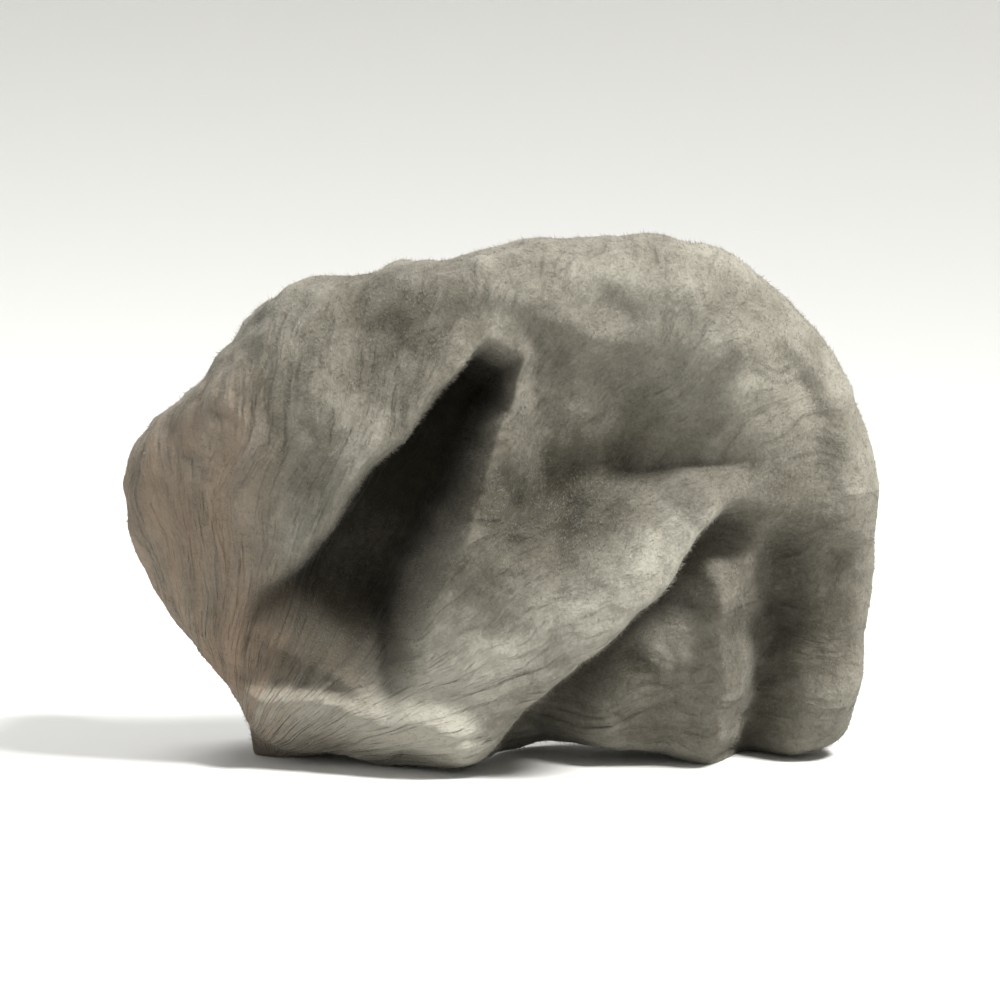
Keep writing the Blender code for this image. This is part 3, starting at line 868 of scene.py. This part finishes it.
@dataclass
class FinishTree:
    """The nodes of one finish, added step by step so that a finish reads as a recipe.

    Attributes:
        name: the material's name.
    """

    name: str

    def __post_init__(self) -> None:
        """Starts with the plain shader."""
        self.material = bpy.data.materials.new(self.name)
        self.material.use_nodes = True
        self.nodes = self.material.node_tree.nodes
        self.shader = self.nodes["Principled BSDF"]

    def link(self, source: bpy.types.NodeSocket, target: bpy.types.NodeSocket) -> None:
        """Joins two sockets."""
        self.material.node_tree.links.new(source, target)

    def feed(self, socket: bpy.types.NodeSocket, value: object) -> None:
        """Links a socket to the target, or sets it to a plain value.

        Args:
            socket: the target.
            value: a socket, or a number or colour.
        """
        if isinstance(value, bpy.types.NodeSocket):
            self.link(value, socket)
        else:
            socket.default_value = value

    def place(self) -> bpy.types.NodeSocket:
        """The point's place on the object, in metres."""
        return self.nodes.new("ShaderNodeTexCoord").outputs["Object"]

    def stored(self, name: str, output: str = "Fac") -> bpy.types.NodeSocket:
        """What the mesh stores at each point.

        Args:
            name: what the mesh calls it.
            output: "Fac" for one number, "Vector" for an (x, y, z).

        Returns:
            The value.
        """
        node = self.nodes.new("ShaderNodeAttribute")
        node.attribute_name = name
        return node.outputs[output]

    def noise(self, place: bpy.types.NodeSocket, pattern: Pattern) -> bpy.types.NodeSocket:
        """Uneven values from 0 to 1, mostly near 0.5.

        Args:
            place: where the pattern is read.
            pattern: its sizes.

        Returns:
            The value.
        """
        node = self.nodes.new("ShaderNodeTexNoise")
        self.link(place, node.inputs["Vector"])
        node.inputs["Scale"].default_value = pattern.scale
        node.inputs["Detail"].default_value = pattern.detail
        node.inputs["Roughness"].default_value = pattern.roughness
        return node.outputs["Fac"]

    def sum(self, start: float, *terms: tuple[float, bpy.types.NodeSocket]) -> bpy.types.NodeSocket:
        """A start value plus the weighted values.

        Args:
            start: the start value.
            terms: (weight, value) pairs.

        Returns:
            The start value plus weight times value for each pair.
        """
        total: object = start
        for weight, value in terms:
            node = self.nodes.new("ShaderNodeMath")
            node.operation = "MULTIPLY_ADD"
            self.feed(node.inputs[0], value)
            node.inputs[1].default_value = weight
            self.feed(node.inputs[2], total)
            total = node.outputs[0]
        return total

    def product(self, first: object, second: object) -> bpy.types.NodeSocket:
        """Two values multiplied.

        Args:
            first, second: sockets or numbers.

        Returns:
            Their product.
        """
        node = self.nodes.new("ShaderNodeMath")
        node.operation = "MULTIPLY"
        self.feed(node.inputs[0], first)
        self.feed(node.inputs[1], second)
        return node.outputs[0]

    def creases(self, place: bpy.types.NodeSocket, lines: Creases) -> bpy.types.NodeSocket:
        """Winding creases: 0 along each crease and 1 on the felt between them.

        A crease runs where a noise crosses its middle value, so |noise - 0.5| is near 0 there.

        Args:
            place: where the pattern is read.
            lines: the creases' sizes.

        Returns:
            The value.
        """
        node = self.nodes.new("ShaderNodeMath")
        node.operation = "ABSOLUTE"
        self.link(self.sum(-0.5, (1.0, self.noise(place, lines.pattern))), node.inputs[0])
        return self.spread(node.outputs[0], (0.0, lines.width))

    def spread(
        self, value: bpy.types.NodeSocket, source: Range, target: Range = (0.0, 1.0)
    ) -> bpy.types.NodeSocket:
        """The value carried smoothly from one range to another.

        Args:
            value: the value.
            source: the range that it is expected in.
            target: the range that it is carried to.

        Returns:
            target low + (target high - target low) * eased share of the source range.
        """
        node = self.nodes.new("ShaderNodeMapRange")
        node.interpolation_type = "SMOOTHSTEP"
        self.link(value, node.inputs["Value"])
        for name, number in zip(("From Min", "From Max", "To Min", "To Max"), (*source, *target)):
            node.inputs[name].default_value = number
        return node.outputs["Result"]

    def ramp(
        self, value: bpy.types.NodeSocket, stops: tuple[tuple[float, Colour], ...]
    ) -> bpy.types.NodeSocket:
        """A colour for each value, straight from stop to stop.

        Args:
            value: from 0 to 1.
            stops: (value, colour) pairs in rising order.

        Returns:
            The colour between the nearest stops.
        """
        node = self.nodes.new("ShaderNodeValToRGB")
        self.link(value, node.inputs["Fac"])
        elements = node.color_ramp.elements
        while len(elements) < len(stops):
            elements.new(0.5)
        for element, (at, colour) in zip(elements, stops):
            element.position = at
            element.color = (*colour, 1)
        return node.outputs["Color"]

    def blend(self, share: object, first: object, second: object) -> bpy.types.NodeSocket:
        """The first colour going over to the second.

        Args:
            share: a value from 0 to 1.
            first, second: sockets or colours.

        Returns:
            first + (second - first) * share.
        """
        node = self.nodes.new("ShaderNodeMix")
        node.data_type = "RGBA"
        self.feed(node.inputs["Factor"], share)
        for socket, colour in ((node.inputs[6], first), (node.inputs[7], second)):
            self.feed(socket, colour if isinstance(colour, bpy.types.NodeSocket) else (*colour, 1))
        return node.outputs[2]

    def relief(self, *layers: tuple[bpy.types.NodeSocket, float]) -> None:
        """Raises the surface by one layer after another.

        Args:
            layers: (height from 0 to 1, how many millimetres that stands for) pairs.
        """
        below = None
        for height, depth in layers:
            node = self.nodes.new("ShaderNodeBump")
            node.inputs["Strength"].default_value = 1.0
            node.inputs["Distance"].default_value = depth * MM
            self.link(height, node.inputs["Height"])
            if below is not None:
                self.link(below, node.inputs["Normal"])
            below = node.outputs["Normal"]
        self.link(below, self.shader.inputs["Normal"])

    def surface(self, **inputs: object) -> bpy.types.Material:
        """Feeds the shader.

        Args:
            inputs: a value for each of its sockets, named with underscores for spaces.

        Returns:
            The finished material.
        """
        for name, value in inputs.items():
            self.feed(self.shader.inputs[name.replace("_", " ")], value)
        return self.material


# Fine creases of the felt, which fan out from the foot; they are painted darker than the felt between them, a
# painted shade.
FELT_CREASES = Creases(3.8, 0.15, weight=0.07, height=0.13)


@dataclass(frozen=True)
class FeltColours:
    """The felt's colours, linear: from painted shade in the depths of its folds to the pale crests, which are
    partly painted light.

    Attributes:
        cleft: the painted shade, nearly black, at the bottom of the cleft.
        depth, shade, sage, bleached: the felt from dark to pale.
        stops: the tones at which those four stand on the ramp.
        tan, brown: the flank and the foot, and the margin.
        base: what is taken off the tone for the patterns that add to it.
        patches, streaks, tufts, flecks: those patterns, broadest first.
        tan_streaks, brown_patches, cleft_tufts: which range of a pattern lets a colour through,
            and how much of it at the two ends of the range.
    """

    cleft: Colour = (0.016, 0.013, 0.008)
    depth: Colour = (0.05, 0.045, 0.033)
    shade: Colour = (0.105, 0.097, 0.077)
    sage: Colour = (0.185, 0.175, 0.145)
    bleached: Colour = (0.33, 0.318, 0.272)
    tan: Colour = (0.232, 0.172, 0.125)
    brown: Colour = (0.075, 0.056, 0.038)
    stops: tuple[float, ...] = (0.08, 0.32, 0.58, 0.92)
    base: float = -0.62
    patches: Pattern = Pattern(190, 3, 0.55, weight=0.16)
    streaks: Pattern = Pattern(2.6, 4, 0.6, weight=0.32)
    tufts: Pattern = Pattern(1900, 4, 0.65, weight=0.36)
    flecks: Pattern = Pattern(6500, 3, 0.6, weight=0.36)
    tan_streaks: tuple[Range, Range] = ((0.3, 0.62), (0.35, 1.0))
    brown_patches: tuple[Range, Range] = ((0.3, 0.7), (0.25, 0.7))
    cleft_tufts: tuple[Range, Range] = ((0.2, 0.7), (1.0, 0.82))

    def mix(self, tree: FinishTree) -> bpy.types.NodeSocket:
        """The felt's colour at each point.

        A ramp from depth to bleached over the tone, which carries the painted light and shade of the folds,
        broken up by broad patches, by streaks and creases that fan out from the foot, by tufts and by flecks;
        then tan where the mesh says warm, brown towards the margin, and a nearly black painted shade at the
        bottom of the cleft.

        Args:
            tree: the finish that the nodes are added to.

        Returns:
            The colour.
        """
        place, grain = tree.place(), tree.stored("grain", "Vector")
        patches, streaks = tree.noise(place, self.patches), tree.noise(grain, self.streaks)
        tufts, flecks = tree.noise(place, self.tufts), tree.noise(place, self.flecks)
        # The stored tone carries the painted light and shade of the folds.
        tone = tree.sum(
            self.base,
            (1.0, tree.stored("tone")),
            (self.patches.weight, patches),
            (self.streaks.weight, streaks),
            (self.tufts.weight, tufts),
            (self.flecks.weight, flecks),
            (FELT_CREASES.weight, tree.creases(grain, FELT_CREASES)),
        )
        colour = tree.ramp(tone, tuple(zip(self.stops, (self.depth, self.shade, self.sage, self.bleached))))
        for name, pattern, ranges, over in (
            ("warm", streaks, self.tan_streaks, self.tan),
            ("rim", patches, self.brown_patches, self.brown),
            # Painted shade, nearly black, at the bottom of the cleft.
            ("deep", tufts, self.cleft_tufts, self.cleft),
        ):
            colour = tree.blend(tree.product(tree.stored(name), tree.spread(pattern, *ranges)), colour, over)
        return colour


@dataclass(frozen=True)
class FeltFinish:
    """Dry grey felt of matted hairs.

    Attributes:
        colours: its colours.
        wrinkles, tufts, matting: the patterns that raise it, widest first.
        sheen: the colour of its faint sheen, linear.
    """

    colours: FeltColours = FeltColours()
    wrinkles: Pattern = Pattern(9.0, 5, 0.62, height=0.17)
    tufts: Pattern = Pattern(1300, 4, 0.6, height=0.10)
    matting: Pattern = Pattern(7500, 4, 0.7, height=0.05)
    sheen: Colour = (0.86, 0.84, 0.76)

    def make(self) -> bpy.types.Material:
        """Mixes the finish of the felt.

        Returns:
            The material.
        """
        tree = FinishTree("grey felt")
        place, grain = tree.place(), tree.stored("grain", "Vector")
        tree.relief(
            (tree.noise(grain, self.wrinkles), self.wrinkles.height),
            (tree.creases(grain, FELT_CREASES), FELT_CREASES.height),
            (tree.noise(place, self.tufts), self.tufts.height),
            (tree.noise(place, self.matting), self.matting.height),
        )
        return tree.surface(
            Base_Color=self.colours.mix(tree),
            Roughness=0.92,
            Specular_IOR_Level=0.2,
            Sheen_Weight=0.12,
            Sheen_Roughness=0.45,
            Sheen_Tint=(*self.sheen, 1),
        )


@dataclass(frozen=True)
class DarkFinish:
    """The smooth inner side: brown-black, faintly veined, with a low sheen.

    Attributes:
        black, brown: its two colours, linear.
        veins, clouds, grit: its patterns.
        wrinkles: the fine creases that fan out from the foot.
        base: where its tone starts, before the patterns and the rim add to it.
        paler_rim: what the margin adds to the tone.
        brown_range: the tones between which black goes over to brown.
        gloss_clouds, roughness: the range of the clouds, and the roughness at its two ends.
    """

    black: Colour = (0.016, 0.0135, 0.0125)
    brown: Colour = (0.05, 0.036, 0.027)
    veins: Pattern = Pattern(5.0, 4, 0.55, weight=0.5, height=0.14)
    clouds: Pattern = Pattern(260, 4, 0.6, weight=0.75, height=0.25)
    grit: Pattern = Pattern(3800, 3, 0.6, height=0.02)
    wrinkles: Creases = Creases(4.4, 0.2, height=0.10)
    base: float = -0.12
    paler_rim: float = 0.45
    brown_range: Range = (0.35, 0.85)
    gloss_clouds: Range = (0.35, 0.65)
    roughness: Range = (0.36, 0.58)

    def make(self) -> bpy.types.Material:
        """Mixes the finish of the dark side.

        Returns:
            The material.
        """
        tree = FinishTree("dark skin")
        place, grain = tree.place(), tree.stored("grain", "Vector")
        veins, clouds = tree.noise(grain, self.veins), tree.noise(place, self.clouds)
        tone = tree.sum(
            self.base,
            (self.clouds.weight, clouds),
            (self.veins.weight, veins),
            (self.paler_rim, tree.stored("rim")),
        )
        tree.relief(
            (veins, self.veins.height),
            (tree.creases(grain, self.wrinkles), self.wrinkles.height),
            (clouds, self.clouds.height),
            (tree.noise(place, self.grit), self.grit.height),
        )
        return tree.surface(
            Base_Color=tree.blend(tree.spread(tone, self.brown_range), self.black, self.brown),
            Roughness=tree.spread(clouds, self.gloss_clouds, self.roughness),
            Specular_IOR_Level=0.5,
        )


@dataclass(frozen=True)
class CutFinish:
    """The cut foot: pale torn fibres with darker stains.

    Attributes:
        fibre, stain: its two colours, linear.
        fibres, clouds: its patterns.
        fibre_range: the mixed tones between which stain goes over to fibre.
    """

    fibre: Colour = (0.30, 0.22, 0.14)
    stain: Colour = (0.10, 0.068, 0.042)
    fibres: Pattern = Pattern(5200, 4, 0.7, weight=0.5, height=0.06)
    clouds: Pattern = Pattern(900, 3, 0.6, weight=0.5, height=0.12)
    fibre_range: Range = (0.38, 0.62)

    def make(self) -> bpy.types.Material:
        """Mixes the finish of the cut.

        Returns:
            The material.
        """
        tree = FinishTree("cut foot")
        place = tree.place()
        fibres, clouds = tree.noise(place, self.fibres), tree.noise(place, self.clouds)
        tree.relief((clouds, self.clouds.height), (fibres, self.fibres.height))
        tone = tree.sum(0.0, (self.fibres.weight, fibres), (self.clouds.weight, clouds))
        share = tree.spread(tone, self.fibre_range)
        return tree.surface(Base_Color=tree.blend(share, self.stain, self.fibre), Roughness=0.95)


@dataclass(frozen=True)
class HairFinish:
    """Short pale hairs that take their tone from the felt under them, its painted light and shade included.

    Attributes:
        colours: the felt's colours.
        tip: the colour of the hairs' tips, linear.
        tip_share: how much of it a hair has at its root and at its tip.
        tip_loss: what share of it a hair loses where painted shade darkens the bottom of the cleft.
    """

    colours: FeltColours = FeltColours()
    tip: Colour = (0.40, 0.385, 0.33)
    tip_share: Range = (0.05, 0.6)
    tip_loss: float = 0.9

    def make(self) -> bpy.types.Material:
        """Mixes the finish of the hairs.

        Returns:
            The material.
        """
        tree = FinishTree("felt hairs")
        bleached = tree.spread(tree.stored("along"), (0.0, 1.0), self.tip_share)
        # Painted shade: hairs lose their pale tips at the bottom of the cleft.
        kept = tree.sum(1.0, (-self.tip_loss, tree.stored("deep")))
        share = tree.product(bleached, kept)
        return tree.surface(
            Base_Color=tree.blend(share, self.colours.mix(tree), self.tip),
            Roughness=0.8,
            Specular_IOR_Level=0.2,
        )


@dataclass
class WoodEar:
    """The ear's skin, both sides of it and the cut of its foot, as one closed piece.

    Attributes:
        sheet: the sheet that it is made of.
        dark_step: the dark side keeps one ring in this many, because it is smoother.
        cut_height: what of the foot lies lower than this is the cut, in millimetres.
    """

    sheet: CurledSheet
    dark_step: int = 2
    cut_height: float = 0.05

    def build(self) -> bpy.types.Object:
        """Makes and dresses the skin.

        The mesh is the felt side's grid, then the dark side's, sewn to the felt side's last ring.

        Returns:
            The piece, in place of the plain solid.
        """
        sheet = self.sheet
        rings, columns = sheet.s.shape
        kept = np.r_[0 : sheet.rings : self.dark_step, sheet.rings : rings - 1]
        felt = ring_indices(rings, columns, 0)
        dark = ring_indices(len(kept), columns, felt.max() + 1)
        dark = np.concatenate([dark, felt[-1:]])
        felt_fan, felt_quads = ring_faces(felt, turned=True)
        dark_fan, dark_quads = ring_faces(dark, turned=False)
        points = self.both_sides(sheet.outer, sheet.inner[kept])
        piece = mesh_object("wood_ear_skin", points, [felt_fan, felt_quads, dark_fan, dark_quads])
        for name in SHEET_VALUES:
            values = getattr(sheet, name)
            give_values(piece.data, name, self.both_sides(values, values[kept]))
        self.dress(piece, [felt_fan, felt_quads], points)
        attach(piece, "root")
        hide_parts(NODE)
        return piece

    def both_sides(self, felt: np.ndarray, dark: np.ndarray) -> np.ndarray:
        """Values of both sides in the order of the mesh's points.

        Args:
            felt, dark: values of the felt side and of the dark side, as (ring, column, ...).

        Returns:
            One value for the middle and then ring after ring, for the felt side and then the dark.
        """
        tail = felt.shape[2:]
        return np.concatenate(
            [part for side in (felt, dark) for part in (side[0, :1], side[1:].reshape(-1, *tail))]
        )

    def dress(self, piece: bpy.types.Object, felt_faces: list[np.ndarray], points: np.ndarray) -> None:
        """Gives each face the finish of its side.

        Args:
            piece: the skin.
            felt_faces: the faces of the felt side, which come first in the mesh.
            points: the mesh's points, in millimetres.
        """
        finishes = {Side.FELT: FeltFinish(), Side.DARK: DarkFinish(), Side.CUT: CutFinish()}
        for side in Side:
            piece.data.materials.append(finishes[side].make())
        foot = np.array(self.sheet.foot_place) + self.sheet.centring
        near = np.hypot(*(points[:, :2] - foot).T) < self.sheet.foot_radius + self.sheet.foot_blend
        cut = (points[:, 2] < self.cut_height) & near
        worn = np.full(len(piece.data.polygons), Side.DARK.value, np.int32)
        on_felt = np.concatenate([cut[group].all(1) for group in felt_faces])
        worn[: len(on_felt)] = np.where(on_felt, Side.CUT.value, Side.FELT.value)
        piece.data.polygons.foreach_set("material_index", worn)


@dataclass
class FeltHairs:
    """Short fine hairs that stand out of the felt, each a spike on three corners.

    Attributes:
        sheet: the sheet that they grow on.
        name: the piece's name.
        rings: share of the way from the middle to the margin that they cover, as (from, to).
        count: how many.
        length: shortest and longest, in millimetres.
        thickness: across the root, in millimetres.
        lean, lean_spread: how far they lie over, from 0 upright to 1 flat, and how much that varies.
        lean_range: the least and the most that one lies over.
        lift: how far an upright one stands up; what is over 1 keeps a flat one off the felt.
        swirl, swirl_size: how far the lie of the hairs turns from place to place, in radians, and
            over what length, in millimetres across the front and along the depth.
        unruly: how much the lie of one hair varies, in radians.
        sunk: how deep the root is in the skin, in millimetres.
        seed: picks one scatter.
        finish: what they look like.
    """

    sheet: CurledSheet
    name: str
    rings: Range
    count: int = 48000
    length: Range = (0.14, 0.36)
    thickness: float = 0.028
    lean: float = 0.68
    lean_spread: float = 0.2
    lean_range: Range = (0.1, 1.0)
    lift: float = 1.05
    swirl: float = 3.5
    swirl_size: Range = (1.3, 2.1)
    unruly: float = 0.7
    sunk: float = 0.04
    seed: int = 7
    finish: HairFinish = field(default_factory=HairFinish)

    def build(self) -> bpy.types.Object:
        """Makes and dresses the hairs.

        Each has three points round its root, one at its tip, and four triangles.

        Returns:
            All of them as one piece.
        """
        root, normal, values = self.scatter()
        points = self.spikes(root, normal)
        order = np.arange(self.count * 4).reshape(-1, 4)
        sides = order[:, [[0, 1, 3], [1, 2, 3], [2, 0, 3], [2, 1, 0]]].reshape(-1, 3)
        piece = mesh_object(self.name, points.reshape(-1, 3), [sides])
        for name, value in values.items():
            give_values(piece.data, name, np.repeat(value, 4, axis=0))
        give_values(piece.data, "along", np.tile([0.0, 0.0, 0.0, 1.0], self.count))
        piece.data.materials.append(self.finish.make())
        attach(piece, "root")
        return piece

    def scatter(self) -> tuple[np.ndarray, np.ndarray, dict[str, np.ndarray]]:
        """Even random places on the felt side.

        Each cell of the grid is picked as often as its area asks, and a place in it is the mean
        of its four corners, weighted by two random shares.

        Returns:
            Roots, normals, and the felt's values there.
        """
        draw = np.random.default_rng(self.seed)
        sheet = self.sheet
        low, high = (int(share * sheet.rings) for share in self.rings)
        outer = sheet.outer[low : high + 1]
        right = np.roll(outer, -1, 1)
        area = np.linalg.norm(np.cross(right[:-1] - outer[1:], right[1:] - outer[:-1]), axis=-1)
        area = area * (1 - sheet.drawn[low:high])
        chance = (area / area.sum()).ravel()
        ring, column = np.divmod(draw.choice(chance.size, self.count, p=chance), sheet.columns)
        u, v = draw.random((2, self.count))
        ring, beside = ring + low, (column + 1) % sheet.columns
        corners = ((ring, column, (1 - u) * (1 - v)), (ring + 1, column, u * (1 - v)),
                   (ring, beside, (1 - u) * v), (ring + 1, beside, u * v))

        def at(values: np.ndarray) -> np.ndarray:
            """The grid's values at the scattered places."""
            extra = (slice(None),) + (None,) * (values.ndim - 2)
            return sum(values[r, c] * weight[extra] for r, c, weight in corners)

        normal = unit(at(outward_normals(sheet.outer)))
        values = {name: at(getattr(sheet, name)) for name in SHEET_VALUES}
        return at(sheet.outer), normal, values

    def spikes(self, root: np.ndarray, normal: np.ndarray) -> np.ndarray:
        """Three corners round each root and a tip.

        A hair leans over in a direction that its neighbours nearly share: the slow waves of a
        swirl angle, plus a random turn of its own. It points along
        normal * (lift - lean) + that direction * lean.

        Args:
            root: the roots, in millimetres.
            normal: the outward direction at each.

        Returns:
            An array of (hair, corner, xyz).
        """
        draw = np.random.default_rng(self.seed + 1)
        front, depth = self.swirl_size
        swirl = waves(root[:, 0] / front + root[:, 1] / depth, root[:, 2] / front, 2, self.seed)
        turn = self.swirl * swirl + draw.normal(0, self.unruly, self.count)
        side = unit(np.cross(normal, NO_NORMAL))
        other = np.cross(normal, side)
        along = side * np.cos(turn)[:, None] + other * np.sin(turn)[:, None]
        lean = np.clip(draw.normal(self.lean, self.lean_spread, self.count), *self.lean_range)[:, None]
        way = unit(normal * (self.lift - lean) + along * lean)
        reach = draw.uniform(*self.length, self.count)[:, None]
        first = unit(np.cross(way, normal + along))
        second = np.cross(way, first)
        base = root - normal * self.sunk
        third_turns = np.arange(3) * 2 * np.pi / 3
        corners = [base + self.thickness / 2 * (first * np.cos(t) + second * np.sin(t)) for t in third_turns]
        points = np.stack([*corners, base + way * reach], 1)
        np.maximum(points[..., 2], 0, out=points[..., 2])
        return points


@dataclass(frozen=True)
class FloorFinish:
    """Plain pale matt paper.

    Attributes:
        colour: its colour, linear.
        grain: its fine grain.
    """

    colour: Colour = (0.70, 0.70, 0.685)
    grain: Pattern = Pattern(900, 3, 0.5, height=0.02)

    def make(self) -> bpy.types.Material:
        """Mixes the finish of the paper.

        Returns:
            The material.
        """
        tree = FinishTree("pale paper")
        tree.relief((tree.noise(tree.place(), self.grain), self.grain.height))
        return tree.surface(Base_Color=(*self.colour, 1), Roughness=0.9)


@dataclass(frozen=True)
class Lamp:
    """A square soft lamp.

    Attributes:
        name: its name.
        place: where it hangs, in metres.
        power: its power, in watts.
        size: the side of its square, in metres.
        colour: the colour of its light, linear.
    """

    name: str
    place: tuple[float, float, float]
    power: float
    size: float
    colour: Colour


@dataclass
class Studio:
    """A round paper sweep, soft lamps and the camera.

    Attributes:
        target: what the camera and the lamps look at, in metres.
        distance, elevation: where the camera is, in metres and degrees.
        lens: its focal length, in millimetres.
        seen: the nearest and the farthest distance that it sees, in metres.
        flat, sweep, wall: radius of the flat floor, radius of the curve up, and length of the wall,
            in metres.
        floor_rings: radii of the rings on the flat floor, in metres.
        sweep_steps, sides: steps up the curve, and sides round the floor.
        lamps: the lamps.
        sky: strength of the even light from all round.
    """

    target: Vector = field(default_factory=lambda: Vector((0.0, -0.002, 0.0122)))
    distance: float = 0.158
    elevation: float = 5.0
    lens: float = 120.0
    seen: Range = (0.005, 5.0)
    flat: float = 0.24
    sweep: float = 0.30
    wall: float = 0.12
    floor_rings: tuple[float, ...] = (0.0, 0.05, 0.12)
    sweep_steps: int = 24
    sides: int = 96
    lamps: tuple[Lamp, ...] = (
        Lamp("key", (0.16, -0.09, 0.27), 2.06, 0.08, (1.0, 0.985, 0.95)),
        Lamp("fill", (-0.26, -0.16, 0.14), 0.12, 0.20, (0.96, 0.98, 1.0)),
        Lamp("back", (-0.06, 0.20, 0.28), 0.9, 0.14, (1.0, 1.0, 1.0)),
    )
    sky: float = 0.32

    def build(self) -> None:
        """Makes everything round the object."""
        self.make_sweep()
        for lamp in self.lamps:
            self.make_lamp(lamp)
        self.make_sky()
        self.make_camera()

    def make_sweep(self) -> None:
        """The floor: a turned profile that runs flat, then up a quarter circle, then up a wall.

        On the curve the radius is flat + sweep * sin(turn) and the height sweep * (1 - cos(turn)).
        """
        turn = np.linspace(0, np.pi / 2, self.sweep_steps)
        curve = self.flat + self.sweep * np.sin(turn)
        rise = self.sweep * (1 - np.cos(turn))
        radius = np.array([*self.floor_rings, *curve, curve[-1]])
        height = np.array([*np.zeros(len(self.floor_rings)), *rise, rise[-1] + self.wall])
        angle = np.arange(self.sides) / self.sides * 2 * np.pi
        across, along = radius[:, None] * np.cos(angle), radius[:, None] * np.sin(angle)
        grid = np.stack([across, along, np.repeat(height[:, None], self.sides, 1)], -1)
        numbers = ring_indices(*grid.shape[:2], 0)
        points = np.concatenate([grid[0, :1], grid[1:].reshape(-1, 3)])
        floor = mesh_object("paper_sweep", points / MM, list(ring_faces(numbers, turned=True)))
        floor.data.materials.append(FloorFinish().make())

    def make_lamp(self, lamp: Lamp) -> None:
        """Hangs a lamp so that it looks at the target.

        Args:
            lamp: the lamp.
        """
        light = bpy.data.lights.new(lamp.name, "AREA")
        light.energy, light.size, light.color = lamp.power, lamp.size, lamp.colour
        thing = bpy.data.objects.new(lamp.name, light)
        thing.location = lamp.place
        thing.rotation_euler = (self.target - thing.location).to_track_quat("-Z", "Y").to_euler()
        bpy.context.collection.objects.link(thing)

    def make_sky(self) -> None:
        """Even white light from all round."""
        world = bpy.data.worlds.new("pale sky")
        world.use_nodes = True
        background = world.node_tree.nodes["Background"]
        background.inputs["Color"].default_value = (1, 1, 1, 1)
        background.inputs["Strength"].default_value = self.sky
        bpy.context.scene.world = world
        bpy.context.scene.view_settings.view_transform = "Standard"

    def make_camera(self) -> None:
        """The camera, a little above the ground and straight in front."""
        data = bpy.data.cameras.new("camera")
        data.lens = self.lens
        data.clip_start, data.clip_end = self.seen
        camera = bpy.data.objects.new("camera", data)
        up = math.radians(self.elevation)
        back = Vector((0, -math.cos(up), math.sin(up)))
        camera.location = self.target + back * self.distance
        camera.rotation_euler = (-back).to_track_quat("-Z", "Y").to_euler()
        bpy.context.collection.objects.link(camera)
        bpy.context.scene.camera = camera


def report(piece: bpy.types.Object) -> None:
    """Logs a piece's size."""
    size = " x ".join(f"{side / MM:.1f}" for side in piece.dimensions)
    log.info("%s: %d faces, %s mm", piece.name, len(piece.data.polygons), size)


def main() -> None:
    """Builds the ear and the studio."""
    logging.basicConfig(level=logging.INFO, format="%(message)s")
    sheet = CurledSheet()
    report(WoodEar(sheet).build())
    report(FeltHairs(sheet, "felt_hairs_front", rings=(0.02, 0.5), seed=7).build())
    report(FeltHairs(sheet, "felt_hairs_back", rings=(0.5, 0.99), seed=19).build())
    Studio().build()


if __name__ == "__main__":
    main()
